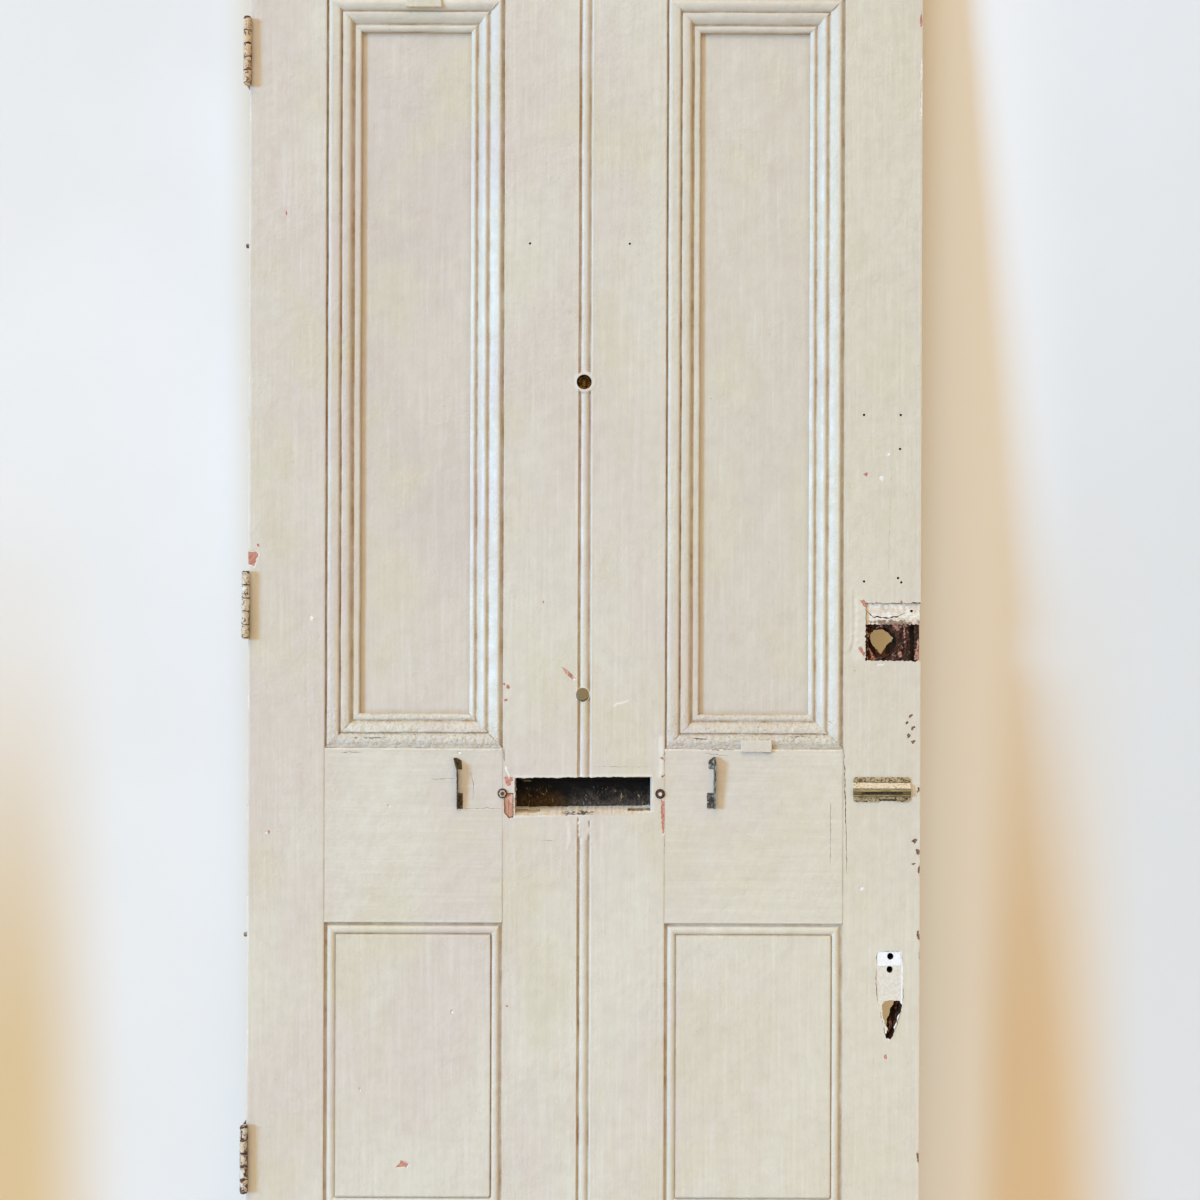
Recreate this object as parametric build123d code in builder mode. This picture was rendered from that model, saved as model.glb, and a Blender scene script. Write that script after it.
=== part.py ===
from build123d import *
import os
from math import radians, tan

# Panelled front door leaf, millimetres. +Z is up, the room face looks along -Y,
# the hinge edge is at -X, and the origin is the middle of the leaf's bottom edge.

os.makedirs("parts", exist_ok=True)

# Leaf
leaf_width = 914
leaf_height = 1981
leaf_thickness = 44.5
outer_stile_width = 105
meeting_pair_width = 220
bottom_rail_height = 222
lower_opening_height = 389
lock_rail_height = 237
top_rail_height = 111

# Joinery
groove_width = 14
groove_depth = 12
panel_edge_gap = 1.5
tenon_thickness = 14
inner_tenon_length = 50
wedge_length = 50
wedge_thickness = 6
key_height = 60
key_length = 60
key_rises = [110, 480, 1120]
key_drops = [421, 81]

# Each rail's tenons, as (height above the rail's bottom edge, tenon height)
bottom_rail_tenons = [(26, 70), (122, 70)]
lock_rail_tenons = [(24, 80), (134, 80)]
top_rail_tenons = [(20, 58)]

# Centre bead worked on the left meeting stile
bead_span = 15
quirk_width = 3
quirk_depth = 4
bead_sink = 0.4
bead_crown = 3

# Mouldings, measured inward from the edge of the opening
moulding_width = 46.4
moulding_crest = 0.6
bead_strip_width = 16
street_moulding_width = 30

# Butt hinges
lowest_hinge_rise = 291
highest_hinge_drop = 189
hinge_length = 89
hinge_leaf_width = 32
hinge_leaf_thickness = 2.4
leaf_gap = 3
knuckle_radius = 5.6
knuckle_count = 5
knuckle_end_gap = 0.3
knuckle_face_clearance = 0.6
hinge_pin_radius = 3.2
pin_running_clearance = 0.05
pin_head_radius = 4.6
pin_head_height = 1.6
hinge_hole_radius = 2.7
hinge_hole_spacing = 30
hinge_screw_radius = 2.5
hinge_screw_head_radius = 4.9
hinge_screw_length = 32
hinge_sink_angle = 120
screw_slot_width = 1
screw_slot_depth = 0.7
knuckle_notch_clearance = 0.4

# Dog bolts in the hinge edge
low_dog_bolt_rise = 590
high_dog_bolt_drop = 448
dog_bolt_radius = 3
dog_bolt_shank_radius = 2.6
dog_bolt_shoulder_gap = 0.5
dog_bolt_depth = 30
dog_bolt_reach = 8

# Letter slot and letter plate
slot_width = 185.5
slot_centre_x = -1.7
slot_rise_on_rail = 145
slot_height = 52
slot_sill_rise = 7
plate_width = 254
plate_height = 76
plate_thickness = 3
plate_centre_x = -3.3
plate_aperture_width = 164
plate_aperture_height = 30
plate_aperture_rise = 13.5
plate_bolt_spacing = 214
plate_bolt_rise = 31
plate_bolt_radius = 2.5
plate_bolt_clearance = 0.6
plate_bolt_end = 4.5
plate_head_radius = 4.5
plate_head_height = 2
nut_across_flats = 8.5
nut_height = 2.6
washer_radius = 6.6
washer_thickness = 1.2
flap_thickness = 2
flap_gap = 0.3
flap_length = 38.5
flap_side_gap = 0.6
flap_barrel_radius = 3.5
flap_spring_room = 1
flap_pin_radius = 2
flap_pin_rise = 47.5
lug_thickness = 3
lug_side_room = 3
lug_drop = 6.5
spring_room = 15
spring_wire_radius = 0.6
spring_pitch = 2
spring_end_gap = 0.4

# Basket brackets: strip centre, rise above the slot's bottom, tab direction and tab reaches
bracket_strip_thickness = 1.6
bracket_height = 70
bracket_stand_off_top = 13
bracket_stand_off_bottom = 9
bracket_tab_thickness = 1.4
bracket_corner_cut = 6
bracket_top_tab_height = 16
bracket_bottom_tab_height = 21
brackets = {
    "left": {"x": -171.7, "rise": 10, "towards": 1, "top": 6.4, "bottom": 7.6},
    "right": {"x": 176.9, "rise": 11.5, "towards": -1, "top": 7.8, "bottom": 9.6},
}
bracket_screw_radius = 1.4
bracket_screw_head_radius = 2.3
bracket_screw_head_height = 1.1
bracket_screw_length = 12

# Door-chain slide, placed from the lock edge and from the lock rail's bottom edge
chain_backset = 52.5
chain_rise_on_rail = 182.8
chain_width = 77.5
chain_height = 34
chain_sheet = 1.6
chain_ridge_bottom = 7.4
chain_ridge_top = 26.5
chain_ridge_proud = 6.5
chain_ridge_slope = 6.5
chain_ridge_lean = 1
chain_slot_height = 2.4
chain_slot_length = 56
chain_window_width = 24
chain_window_height = 4.4
chain_window_x = 8
chain_screw_inset = 9.5
chain_screw_rises = (3.9, 29.6)
chain_screw_radius = 1.6
chain_screw_head_radius = 2.8
chain_screw_head_height = 1
chain_screw_length = 16

# Sunk place of the rim latch that was taken off, measured in from the lock edge
latch_place_width = 77.5
latch_bottom = 966
latch_deep_height = 49
latch_shallow_height = 30
latch_deep = 11
latch_shallow = 3.5
latch_edge_depth = 3.3
latch_lip_width = 30
latch_bore_backset = 52
latch_bore_rise = 26
latch_bore_radius = 19.3
latch_bore_depth = 13

# Mortice left by the lock that was taken out, with its keyhole and fixing holes
lock_pocket_bottom = 430
lock_pocket_height = 105
lock_pocket_depth = 80
lock_pocket_thickness = 16
lock_forend_height = 150
lock_forend_width = 22
lock_forend_depth = 3
keyhole_backset = 43
keyhole_height = 480
escutcheon_hole_rises = [85.3, 67.7]
escutcheon_hole_radius = 4.4
escutcheon_hole_depth = 30

# Furniture holes in the meeting stiles
knocker_hole = (-1.3, 1345)
knocker_hole_radius = 10.4
knocker_hole_depth = 18
knob_hole = (-2, 921)
knob_hole_radius = 8.8

# Old screw holes in the room face: backset and height on the lock stile, place on the others,
# with the lock rails' heights taken from the rail's bottom edge
stile_screw_holes = [(79, 1300), (29, 1300), (30, 1254), (78, 1074), (32, 1079), (27.5, 1073.5)]
meeting_screw_holes = [(-75.5, 1533.5), (60, 1533.5)]
rail_screw_holes = {
    "left": [(-208.8, 214), (-123.2, 196.7), (-134.5, 161)],
    "right": [(116.4, 196), (127.6, 160.6), (236.1, 224.2), (334.2, 189.2)],
}
old_screw_radius = 1.6
old_screw_depth = 14

# Small timber patches on the mouldings: centre, width, height and how proud they stand.
# The right one laps the upper opening's bottom edge, the left one hangs below its top edge.
patch_right = {"x": 233.7, "width": 42.6, "height": 16.5, "below_edge": 4, "proud": 4.5}
patch_left = {"x": -220.5, "width": 49, "height": 14, "below_edge": 3, "proud": 3}

# Small allowances: how far a cutter runs past a face, and the eased edges of metal and patches
cut_past = 1
fine_ease = 0.5
bolt_ease = 0.8
plate_ease = 1.2
patch_ease = 1

# Derived places
half_width = leaf_width / 2
front = -leaf_thickness / 2
back = leaf_thickness / 2
opening_inner = meeting_pair_width / 2
opening_outer = half_width - outer_stile_width
lower_bottom = bottom_rail_height
lower_top = lower_bottom + lower_opening_height
upper_bottom = lower_top + lock_rail_height
upper_top = leaf_height - top_rail_height
panel_front = -groove_width / 2
panel_back = groove_width / 2
seat_depth = panel_front - front
joint_x = bead_span / 2
levels = {"upper": (upper_bottom, upper_top), "lower": (lower_bottom, lower_top)}
rails = {
    "bottom": (0, lower_bottom, bottom_rail_tenons),
    "lock": (lower_top, upper_bottom, lock_rail_tenons),
    "top": (upper_top, leaf_height, top_rail_tenons),
}
sides = {"left": -1, "right": 1}
key_heights = key_rises + [leaf_height - drop for drop in key_drops]
slot_bottom = lower_top + slot_rise_on_rail
highest_hinge = leaf_height - highest_hinge_drop
hinge_heights = {
    "bottom": lowest_hinge_rise,
    "middle": (lowest_hinge_rise + highest_hinge) / 2,
    "top": highest_hinge,
}
pin_x = -half_width - leaf_gap / 2
pin_y = front - knuckle_radius - knuckle_face_clearance
hinge_screw_y = (front + pin_y + hinge_leaf_width) / 2
knuckle_length = hinge_length / knuckle_count
dog_bolt_heights = [low_dog_bolt_rise, leaf_height - high_dog_bolt_drop]
plate_bolt_z = slot_bottom + plate_bolt_rise
plate_bolt_places = [plate_centre_x - plate_bolt_spacing / 2, plate_centre_x + plate_bolt_spacing / 2]


def bar(corner, opposite, mode=Mode.ADD):
    """A square-edged bar between two opposite corners."""
    size = [abs(b - a) for a, b in zip(corner, opposite)]
    middle = [(a + b) / 2 for a, b in zip(corner, opposite)]
    with Locations(tuple(middle)):
        Box(*size, mode=mode)


def rod(radius, start, end, along, mode=Mode.ADD):
    """A round bar between two points that differ only along the axis named."""
    turn = {"x": (0, 90, 0), "y": (90, 0, 0), "z": (0, 0, 0)}[along]
    middle = [(a + b) / 2 for a, b in zip(start, end)]
    length = max(abs(b - a) for a, b in zip(start, end))
    with Locations(Location(tuple(middle), turn)):
        Cylinder(radius, length, mode=mode)


def face_hole(place, radius, depth):
    """A round hole sunk into the room face."""
    x, z = place
    rod(radius, (x, front - cut_past, z), (x, front + depth, z), "y", Mode.SUBTRACT)


def wedge(side, edge, up, mode=Mode.ADD):
    """A thin wedge beside a tenon, with its thick end flush with the stile's edge."""
    tip = side * (half_width - wedge_length)
    with BuildSketch(Plane.XZ) as outline:
        with BuildLine():
            Polyline(
                (side * half_width, edge),
                (side * half_width, edge + up * wedge_thickness),
                (tip, edge),
                close=True,
            )
        make_face()
    extrude(outline.sketch, amount=tenon_thickness / 2, both=True, mode=mode)


def tenon_spans():
    """Bottom and top of every tenon, worked out from its rail."""
    return [(low + rise, low + rise + tall) for low, _, tenons in rails.values() for rise, tall in tenons]


def cut_grooves(edge, inward):
    """Panel grooves in a stile, which run a groove's depth past each opening."""
    for low, high in levels.values():
        bar(
            (edge, panel_front, low - groove_depth),
            (edge + inward * groove_depth, panel_back, high + groove_depth),
            Mode.SUBTRACT,
        )


def cut_letter_slot():
    """The letter slot, whose sill falls towards the room, and the letter plate's bolt holes."""
    with BuildSketch(Plane.YZ.offset(slot_centre_x)) as section:
        with BuildLine():
            Polyline(
                (front - cut_past, slot_bottom),
                (front, slot_bottom),
                (back, slot_bottom + slot_sill_rise),
                (back + cut_past, slot_bottom + slot_sill_rise),
                (back + cut_past, slot_bottom + slot_height),
                (front - cut_past, slot_bottom + slot_height),
                close=True,
            )
        make_face()
    extrude(section.sketch, amount=slot_width / 2, both=True, mode=Mode.SUBTRACT)
    for x in plate_bolt_places:
        radius = plate_bolt_radius + plate_bolt_clearance
        rod(radius, (x, front, plate_bolt_z), (x, back, plate_bolt_z), "y", Mode.SUBTRACT)


def hinge_screw_heights(centre):
    """The three screw heights of one hinge leaf."""
    return [centre + step * hinge_hole_spacing for step in (-1, 0, 1)]


def bracket_tabs(bracket):
    """One basket bracket's two tabs: far edge, bottom, top and the place of the screw."""
    low = slot_bottom + bracket["rise"]
    high = low + bracket_height
    spans = (
        (bracket["bottom"], low, low + bracket_bottom_tab_height),
        (bracket["top"], high - bracket_top_tab_height, high),
    )
    tabs = []
    for reach, bottom, top in spans:
        screw_x = bracket["x"] + bracket["towards"] * (bracket_strip_thickness / 2 + reach) / 2
        edge = bracket["x"] + bracket["towards"] * reach
        tabs.append({"edge": edge, "bottom": bottom, "top": top, "screw": (screw_x, (bottom + top) / 2)})
    return tabs


# Outer stiles
with BuildPart() as hinge_stile:
    bar((-half_width, front, 0), (-opening_outer, back, leaf_height))
    cut_grooves(-opening_outer, -1)
    for low, high in tenon_spans():
        bar(
            (-half_width, -tenon_thickness / 2, low),
            (-opening_outer, tenon_thickness / 2, high),
            Mode.SUBTRACT,
        )
        wedge(-1, high, 1, Mode.SUBTRACT)
        wedge(-1, low, -1, Mode.SUBTRACT)
    for centre in hinge_heights.values():
        bar(
            (-half_width, front, centre - hinge_length / 2),
            (-half_width + hinge_leaf_thickness, pin_y + hinge_leaf_width, centre + hinge_length / 2),
            Mode.SUBTRACT,
        )
        for z in hinge_screw_heights(centre):
            start = (-half_width, hinge_screw_y, z)
            end = (-half_width + hinge_screw_length, hinge_screw_y, z)
            rod(hinge_screw_radius, start, end, "x", Mode.SUBTRACT)
    for z in dog_bolt_heights:
        start = (-half_width, 0, z)
        end = (-half_width + dog_bolt_depth, 0, z)
        rod(dog_bolt_shank_radius, start, end, "x", Mode.SUBTRACT)
hinge_stile.part.label = "hinge_stile"
export_step(hinge_stile.part, "parts/hinge_stile.step")

chain_x = half_width - chain_backset
chain_base = lower_top + chain_rise_on_rail - chain_height / 2
chain_screw_places = [
    (chain_x + side * (chain_width / 2 - chain_screw_inset), chain_base + rise)
    for side in (-1, 1)
    for rise in chain_screw_rises
]
latch_left = half_width - latch_place_width
latch_middle = latch_bottom + latch_deep_height
latch_top = latch_middle + latch_shallow_height
latch_edge = half_width - latch_edge_depth
bore_x = half_width - latch_bore_backset
bore_z = latch_bottom + latch_bore_rise
bore_end = front + latch_deep + latch_bore_depth
keyhole_x = half_width - keyhole_backset

with BuildPart() as lock_stile:
    bar((opening_outer, front, 0), (half_width, back, leaf_height))
    cut_grooves(opening_outer, 1)
    for low, high in tenon_spans():
        bar(
            (opening_outer, -tenon_thickness / 2, low),
            (half_width, tenon_thickness / 2, high),
            Mode.SUBTRACT,
        )
        wedge(1, high, 1, Mode.SUBTRACT)
        wedge(1, low, -1, Mode.SUBTRACT)
    # Sunk place of the rim latch: a shallow step, a deeper step and the edge cut back
    bar((latch_left, front, latch_middle), (half_width, front + latch_shallow, latch_top), Mode.SUBTRACT)
    bar((latch_left, front, latch_bottom), (half_width, front + latch_deep, latch_middle), Mode.SUBTRACT)
    bar((latch_edge, front, latch_bottom), (half_width, front + latch_lip_width, latch_top), Mode.SUBTRACT)
    rod(latch_bore_radius, (bore_x, front, bore_z), (bore_x, bore_end, bore_z), "y", Mode.SUBTRACT)
    # Ragged remainder of the latch cylinder's hole, broken out to the street face
    with BuildSketch(Plane.XZ.offset(-bore_end)):
        with BuildLine():
            Spline(
                (bore_x - 9, bore_z + 8),
                (bore_x + 3, bore_z + 16),
                (bore_x + 13, bore_z + 11),
                (bore_x + 18.4, bore_z + 4),
                (bore_x + 13, bore_z - 3),
                (bore_x + 5, bore_z - 12),
                (bore_x + 1, bore_z - 18),
                (bore_x - 5, bore_z - 11),
                (bore_x - 11, bore_z - 3),
                periodic=True,
            )
        make_face()
    extrude(amount=-(back - bore_end), mode=Mode.SUBTRACT)
    # Mortice of the lock, its face-plate rebate and the ragged keyhole through both faces
    pocket_middle = lock_pocket_bottom + lock_pocket_height / 2
    bar(
        (half_width - lock_pocket_depth, -lock_pocket_thickness / 2, lock_pocket_bottom),
        (half_width, lock_pocket_thickness / 2, lock_pocket_bottom + lock_pocket_height),
        Mode.SUBTRACT,
    )
    bar(
        (half_width - lock_forend_depth, -lock_forend_width / 2, pocket_middle - lock_forend_height / 2),
        (half_width, lock_forend_width / 2, pocket_middle + lock_forend_height / 2),
        Mode.SUBTRACT,
    )
    with BuildSketch(Plane.XZ):
        with BuildLine():
            Polyline(
                (keyhole_x - 9.9, keyhole_height + 19.9),
                (keyhole_x - 4.5, keyhole_height + 25.2),
                (keyhole_x + 4.6, keyhole_height + 26.8),
                (keyhole_x + 14.1, keyhole_height + 24.1),
                (keyhole_x + 14.8, keyhole_height + 15.3),
                (keyhole_x + 12.1, keyhole_height + 7.2),
                (keyhole_x + 4.9, keyhole_height + 0.4),
                (keyhole_x + 6.7, keyhole_height - 5.1),
                (keyhole_x + 3.6, keyhole_height - 10.5),
                (keyhole_x + 6.7, keyhole_height - 15.9),
                (keyhole_x + 4.6, keyhole_height - 22.7),
                (keyhole_x + 0.6, keyhole_height - 26.1),
                (keyhole_x - 5.1, keyhole_height - 24),
                (keyhole_x - 6, keyhole_height - 19),
                (keyhole_x - 2.8, keyhole_height - 13),
                (keyhole_x - 6.4, keyhole_height - 3.7),
                (keyhole_x - 8.2, keyhole_height + 7.2),
                close=True,
            )
        make_face()
    extrude(amount=leaf_thickness, both=True, mode=Mode.SUBTRACT)
    for rise in escutcheon_hole_rises:
        place = (keyhole_x, keyhole_height + rise)
        face_hole(place, escutcheon_hole_radius, escutcheon_hole_depth)
    for backset, z in stile_screw_holes:
        face_hole((half_width - backset, z), old_screw_radius, old_screw_depth)
    for place in chain_screw_places:
        face_hole(place, chain_screw_radius, chain_screw_length - chain_sheet)
lock_stile.part.label = "lock_stile"
export_step(lock_stile.part, "parts/lock_stile.step")


# Meeting stiles, keyed together at the right-hand quirk of the centre bead
def cut_inner_mortices(side):
    """Mortices for the inner tenons of one side's rails."""
    for low, high in tenon_spans():
        bar(
            (side * opening_inner, -tenon_thickness / 2, low),
            (side * (opening_inner - inner_tenon_length), tenon_thickness / 2, high),
            Mode.SUBTRACT,
        )


def shape_keys(mode):
    """The loose keys across the joint between the meeting stiles, or the sinkings for them."""
    for z in key_heights:
        bar(
            (joint_x - key_length / 2, -tenon_thickness / 2, z - key_height / 2),
            (joint_x + key_length / 2, tenon_thickness / 2, z + key_height / 2),
            mode,
        )


def cut_furniture_holes():
    """The blind knocker hole, the knob hole through the leaf and two old screw holes."""
    face_hole(knocker_hole, knocker_hole_radius, knocker_hole_depth)
    face_hole(knob_hole, knob_hole_radius, leaf_thickness)
    for place in meeting_screw_holes:
        face_hole(place, old_screw_radius, old_screw_depth)


quirk_floor = front + quirk_depth
quirk_outer = joint_x + quirk_width / 2
quirk_inner = joint_x - quirk_width / 2
bead_edge = front + bead_sink + bead_crown

with BuildPart() as meeting_stile_left:
    with BuildSketch(Plane.XY):
        with BuildLine():
            Polyline(
                (quirk_inner, bead_edge),
                (quirk_inner, quirk_floor),
                (joint_x, quirk_floor),
                (joint_x, back),
                (-opening_inner, back),
                (-opening_inner, front),
                (-quirk_outer, front),
                (-joint_x, quirk_floor),
                (-quirk_inner, quirk_floor),
                (-quirk_inner, bead_edge),
            )
            ThreePointArc((-quirk_inner, bead_edge), (0, front + bead_sink), (quirk_inner, bead_edge))
        make_face()
    extrude(amount=leaf_height)
    cut_grooves(-opening_inner, 1)
    cut_inner_mortices(-1)
    shape_keys(Mode.SUBTRACT)
    cut_letter_slot()
    cut_furniture_holes()
meeting_stile_left.part.label = "meeting_stile_left"
export_step(meeting_stile_left.part, "parts/meeting_stile_left.step")

with BuildPart() as meeting_stile_right:
    with BuildSketch(Plane.XY):
        with BuildLine():
            Polyline(
                (joint_x, back),
                (joint_x, quirk_floor),
                (quirk_outer, front),
                (opening_inner, front),
                (opening_inner, back),
                close=True,
            )
        make_face()
    extrude(amount=leaf_height)
    cut_grooves(opening_inner, -1)
    cut_inner_mortices(1)
    shape_keys(Mode.SUBTRACT)
    cut_letter_slot()
    cut_furniture_holes()
meeting_stile_right.part.label = "meeting_stile_right"
export_step(meeting_stile_right.part, "parts/meeting_stile_right.step")

with BuildPart() as meeting_stile_keys:
    shape_keys(Mode.ADD)
meeting_stile_keys.part.label = "meeting_stile_keys"
export_step(meeting_stile_keys.part, "parts/meeting_stile_keys.step")

with BuildPart() as tenon_wedges:
    for side in sides.values():
        for low, high in tenon_spans():
            wedge(side, high, 1)
            wedge(side, low, -1)
tenon_wedges.part.label = "tenon_wedges"
export_step(tenon_wedges.part, "parts/tenon_wedges.step")

# Rails, in short lengths between an outer and a meeting stile
for side_name, side in sides.items():
    for rail_name, (low, high, tenons) in rails.items():
        with BuildPart() as rail:
            bar((side * opening_inner, front, low), (side * opening_outer, back, high))
            for rise, tall in tenons:
                bar(
                    (side * (opening_inner - inner_tenon_length), -tenon_thickness / 2, low + rise),
                    (side * half_width, tenon_thickness / 2, low + rise + tall),
                )
            # A groove in each edge that holds a panel
            for opening_low, opening_high in levels.values():
                for edge in (opening_low - groove_depth, opening_high):
                    bar(
                        (side * opening_inner, panel_front, edge),
                        (side * opening_outer, panel_back, edge + groove_depth),
                        Mode.SUBTRACT,
                    )
            if rail_name == "lock":
                cut_letter_slot()
                for x, rise in rail_screw_holes[side_name]:
                    face_hole((x, low + rise), old_screw_radius, old_screw_depth)
                for tab in bracket_tabs(brackets[side_name]):
                    depth = bracket_screw_length - bracket_tab_thickness
                    face_hole(tab["screw"], bracket_screw_radius, depth)
        rail.part.label = f"{rail_name}_rail_{side_name}"
        export_step(rail.part, f"parts/{rail.part.label}.step")


# Panels, each held loose in its grooves
panel_reach = groove_depth - panel_edge_gap
for side_name, side in sides.items():
    for level_name, (low, high) in levels.items():
        with BuildPart() as panel:
            bar(
                (side * (opening_inner - panel_reach), panel_front, low - panel_reach),
                (side * (opening_outer + panel_reach), panel_back, high + panel_reach),
            )
            if level_name == "lower":
                # The lower panels are flush with the room face inside their beads
                bar(
                    (side * (opening_inner + bead_strip_width), front, low + bead_strip_width),
                    (side * (opening_outer - bead_strip_width), panel_front, high - bead_strip_width),
                )
        panel.part.label = f"{level_name}_panel_{side_name}"
        export_step(panel.part, f"parts/{panel.part.label}.step")


# Mouldings: each outline is (distance in from the opening's edge, height above the panel)
def recessed_moulding():
    """Quirk, broad bead, quirk, falling ovolo, quirk and a small lip against the panel."""
    h = seat_depth
    Polyline((19.2, h - 4.4), (20.4, h - 5.4), (21.2, h - 3.2))
    ThreePointArc((21.2, h - 3.2), (30.2, h - 4.6), (35.6, h - 9.6))
    Line((35.6, h - 9.6), (36.6, h - 10.6))
    ThreePointArc((36.6, h - 10.6), (41.4, h - 8), (moulding_width, h - 10.8))
    Polyline((moulding_width, h - 10.8), (moulding_width, 0), (0, 0), (0, h - 4.4), (1.8, h - 4.4))
    ThreePointArc((1.8, h - 4.4), (10.5, h + moulding_crest), (19.2, h - 4.4))


def flush_bead():
    """A half-round bead between two quirks, level with the room face."""
    h = seat_depth
    Polyline((15.2, h - 3), (15.2, h - 3.4), (bead_strip_width, h - 3.4), (bead_strip_width, 0), (0, 0))
    Polyline((0, 0), (0, h - 4.4), (3.6, h - 4.4), (4, h - 3))
    ThreePointArc((4, h - 3), (9.6, h), (15.2, h - 3))


def street_moulding():
    """A plain ogee for the street face."""
    h = seat_depth
    w = street_moulding_width
    Polyline((w, 4), (w, 0), (0, 0), (0, h - 0.4), (6, h - 0.4))
    ThreePointArc((6, h - 0.4), (14, h - 2.4), (18, h - 7.4))
    ThreePointArc((18, h - 7.4), (22, 4.8), (w, 4))


def mitred_length(side, low, high, edge, face, outline):
    """One length of moulding along one edge of an opening, mitred at both ends."""
    left = min(side * opening_inner, side * opening_outer)
    right = max(side * opening_inner, side * opening_outer)
    seat = face * groove_width / 2
    inward = {"left": (1, 0, 0), "right": (-1, 0, 0), "bottom": (0, 0, 1), "top": (0, 0, -1)}[edge]
    middle_x = {"left": left, "right": right}.get(edge, (left + right) / 2)
    middle_z = {"bottom": low, "top": high}.get(edge, (low + high) / 2)
    length = high - low if edge in ("left", "right") else right - left
    inward = Vector(inward)
    middle = Vector(middle_x, seat, middle_z)
    along = inward.cross(Vector(0, face, 0))
    with BuildPart() as strip:
        with BuildSketch(Plane(origin=middle, x_dir=inward, z_dir=along)):
            with BuildLine():
                outline()
            make_face()
        extrude(amount=length / 2, both=True)
        for end in (1, -1):
            corner = middle + along * (end * length / 2)
            mitre = Plane(origin=corner, z_dir=inward + along * end)
            split(bisect_by=mitre, keep=Keep.BOTTOM)
    return strip.part


edges = ("left", "right", "top", "bottom")
for side_name, side in sides.items():
    for edge in edges:
        with BuildPart() as moulding:
            add(mitred_length(side, upper_bottom, upper_top, edge, -1, recessed_moulding))
        moulding.part.label = f"upper_{side_name}_moulding_{edge}"
        export_step(moulding.part, f"parts/{moulding.part.label}.step")

    lower_beads = Compound(
        [mitred_length(side, lower_bottom, lower_top, edge, -1, flush_bead).solid() for edge in edges]
    )
    lower_beads.label = f"lower_beads_{side_name}"
    export_step(lower_beads, f"parts/{lower_beads.label}.step")

    for level_name, (low, high) in levels.items():
        street_set = Compound(
            [mitred_length(side, low, high, edge, 1, street_moulding).solid() for edge in edges]
        )
        street_set.label = f"{level_name}_{side_name}_street_moulding"
        export_step(street_set, f"parts/{street_set.label}.step")

for side_name, patch, edge in (("left", patch_left, upper_top), ("right", patch_right, upper_bottom)):
    seat = front - moulding_crest
    if side_name == "left":
        top = edge - patch["below_edge"]
    else:
        top = edge - patch["below_edge"] + patch["height"]
    with BuildPart() as moulding_patch:
        bar(
            (patch["x"] - patch["width"] / 2, seat - patch["proud"], top - patch["height"]),
            (patch["x"] + patch["width"] / 2, seat, top),
        )
        chamfer(moulding_patch.faces().sort_by(Axis.Y)[0].edges(), length=patch_ease)
    moulding_patch.part.label = f"moulding_patch_{side_name}"
    export_step(moulding_patch.part, f"parts/{moulding_patch.part.label}.step")


# Butt hinges. The frame leaf owns the first, third and fifth knuckle, the door leaf the others.
def hinge_leaf(centre, sign, own, bore_radius, hole_radius):
    """One hinge leaf: a flat plate turned into its own knuckles, and notched round the others."""
    face_x = pin_x + sign * leaf_gap / 2
    outer_x = face_x + sign * hinge_leaf_thickness
    bottom = centre - hinge_length / 2
    with BuildPart() as leaf:
        notch_edge = pin_y + knuckle_radius + knuckle_notch_clearance
        bar((face_x, notch_edge, bottom), (outer_x, pin_y + hinge_leaf_width, bottom + hinge_length))
        for index in own:
            low = bottom + index * knuckle_length + (knuckle_end_gap / 2 if index else 0)
            high = bottom + (index + 1) * knuckle_length
            if index < knuckle_count - 1:
                high -= knuckle_end_gap / 2
            rod(knuckle_radius, (pin_x, pin_y, low), (pin_x, pin_y, high), "z")
            bar((face_x, pin_y, low), (outer_x, notch_edge, high))
        start = (pin_x, pin_y, bottom)
        end = (pin_x, pin_y, bottom + hinge_length)
        rod(bore_radius, start, end, "z", Mode.SUBTRACT)
        for z in hinge_screw_heights(centre):
            # Countersunk from the face that meets the other leaf
            sink = Plane(origin=(face_x, hinge_screw_y, z), z_dir=(-sign, 0, 0))
            with Locations(sink):
                CounterSinkHole(
                    radius=hole_radius,
                    counter_sink_radius=hinge_screw_head_radius,
                    depth=hinge_leaf_thickness,
                    counter_sink_angle=hinge_sink_angle,
                )
    return leaf.part


for place, centre in hinge_heights.items():
    with BuildPart() as frame_leaf:
        add(hinge_leaf(centre, -1, (0, 2, 4), hinge_pin_radius, hinge_hole_radius))
    frame_leaf.part.label = f"hinge_frame_leaf_{place}"
    export_step(frame_leaf.part, f"parts/{frame_leaf.part.label}.step")

    with BuildPart() as door_leaf:
        bore_radius = hinge_pin_radius + pin_running_clearance
        add(hinge_leaf(centre, 1, (1, 3), bore_radius, hinge_screw_radius))
    door_leaf.part.label = f"hinge_door_leaf_{place}"
    export_step(door_leaf.part, f"parts/{door_leaf.part.label}.step")

    with BuildPart() as hinge_pin:
        low = centre - hinge_length / 2
        high = centre + hinge_length / 2
        rod(hinge_pin_radius, (pin_x, pin_y, low), (pin_x, pin_y, high), "z")
        rod(pin_head_radius, (pin_x, pin_y, high), (pin_x, pin_y, high + pin_head_height), "z")
        rod(pin_head_radius, (pin_x, pin_y, low - pin_head_height), (pin_x, pin_y, low), "z")
        ends = hinge_pin.edges().filter_by(GeomType.CIRCLE).group_by(Axis.Z)
        chamfer(ends[0] + ends[-1], length=fine_ease)
    hinge_pin.part.label = f"hinge_pin_{place}"
    export_step(hinge_pin.part, f"parts/{hinge_pin.part.label}.step")

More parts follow.
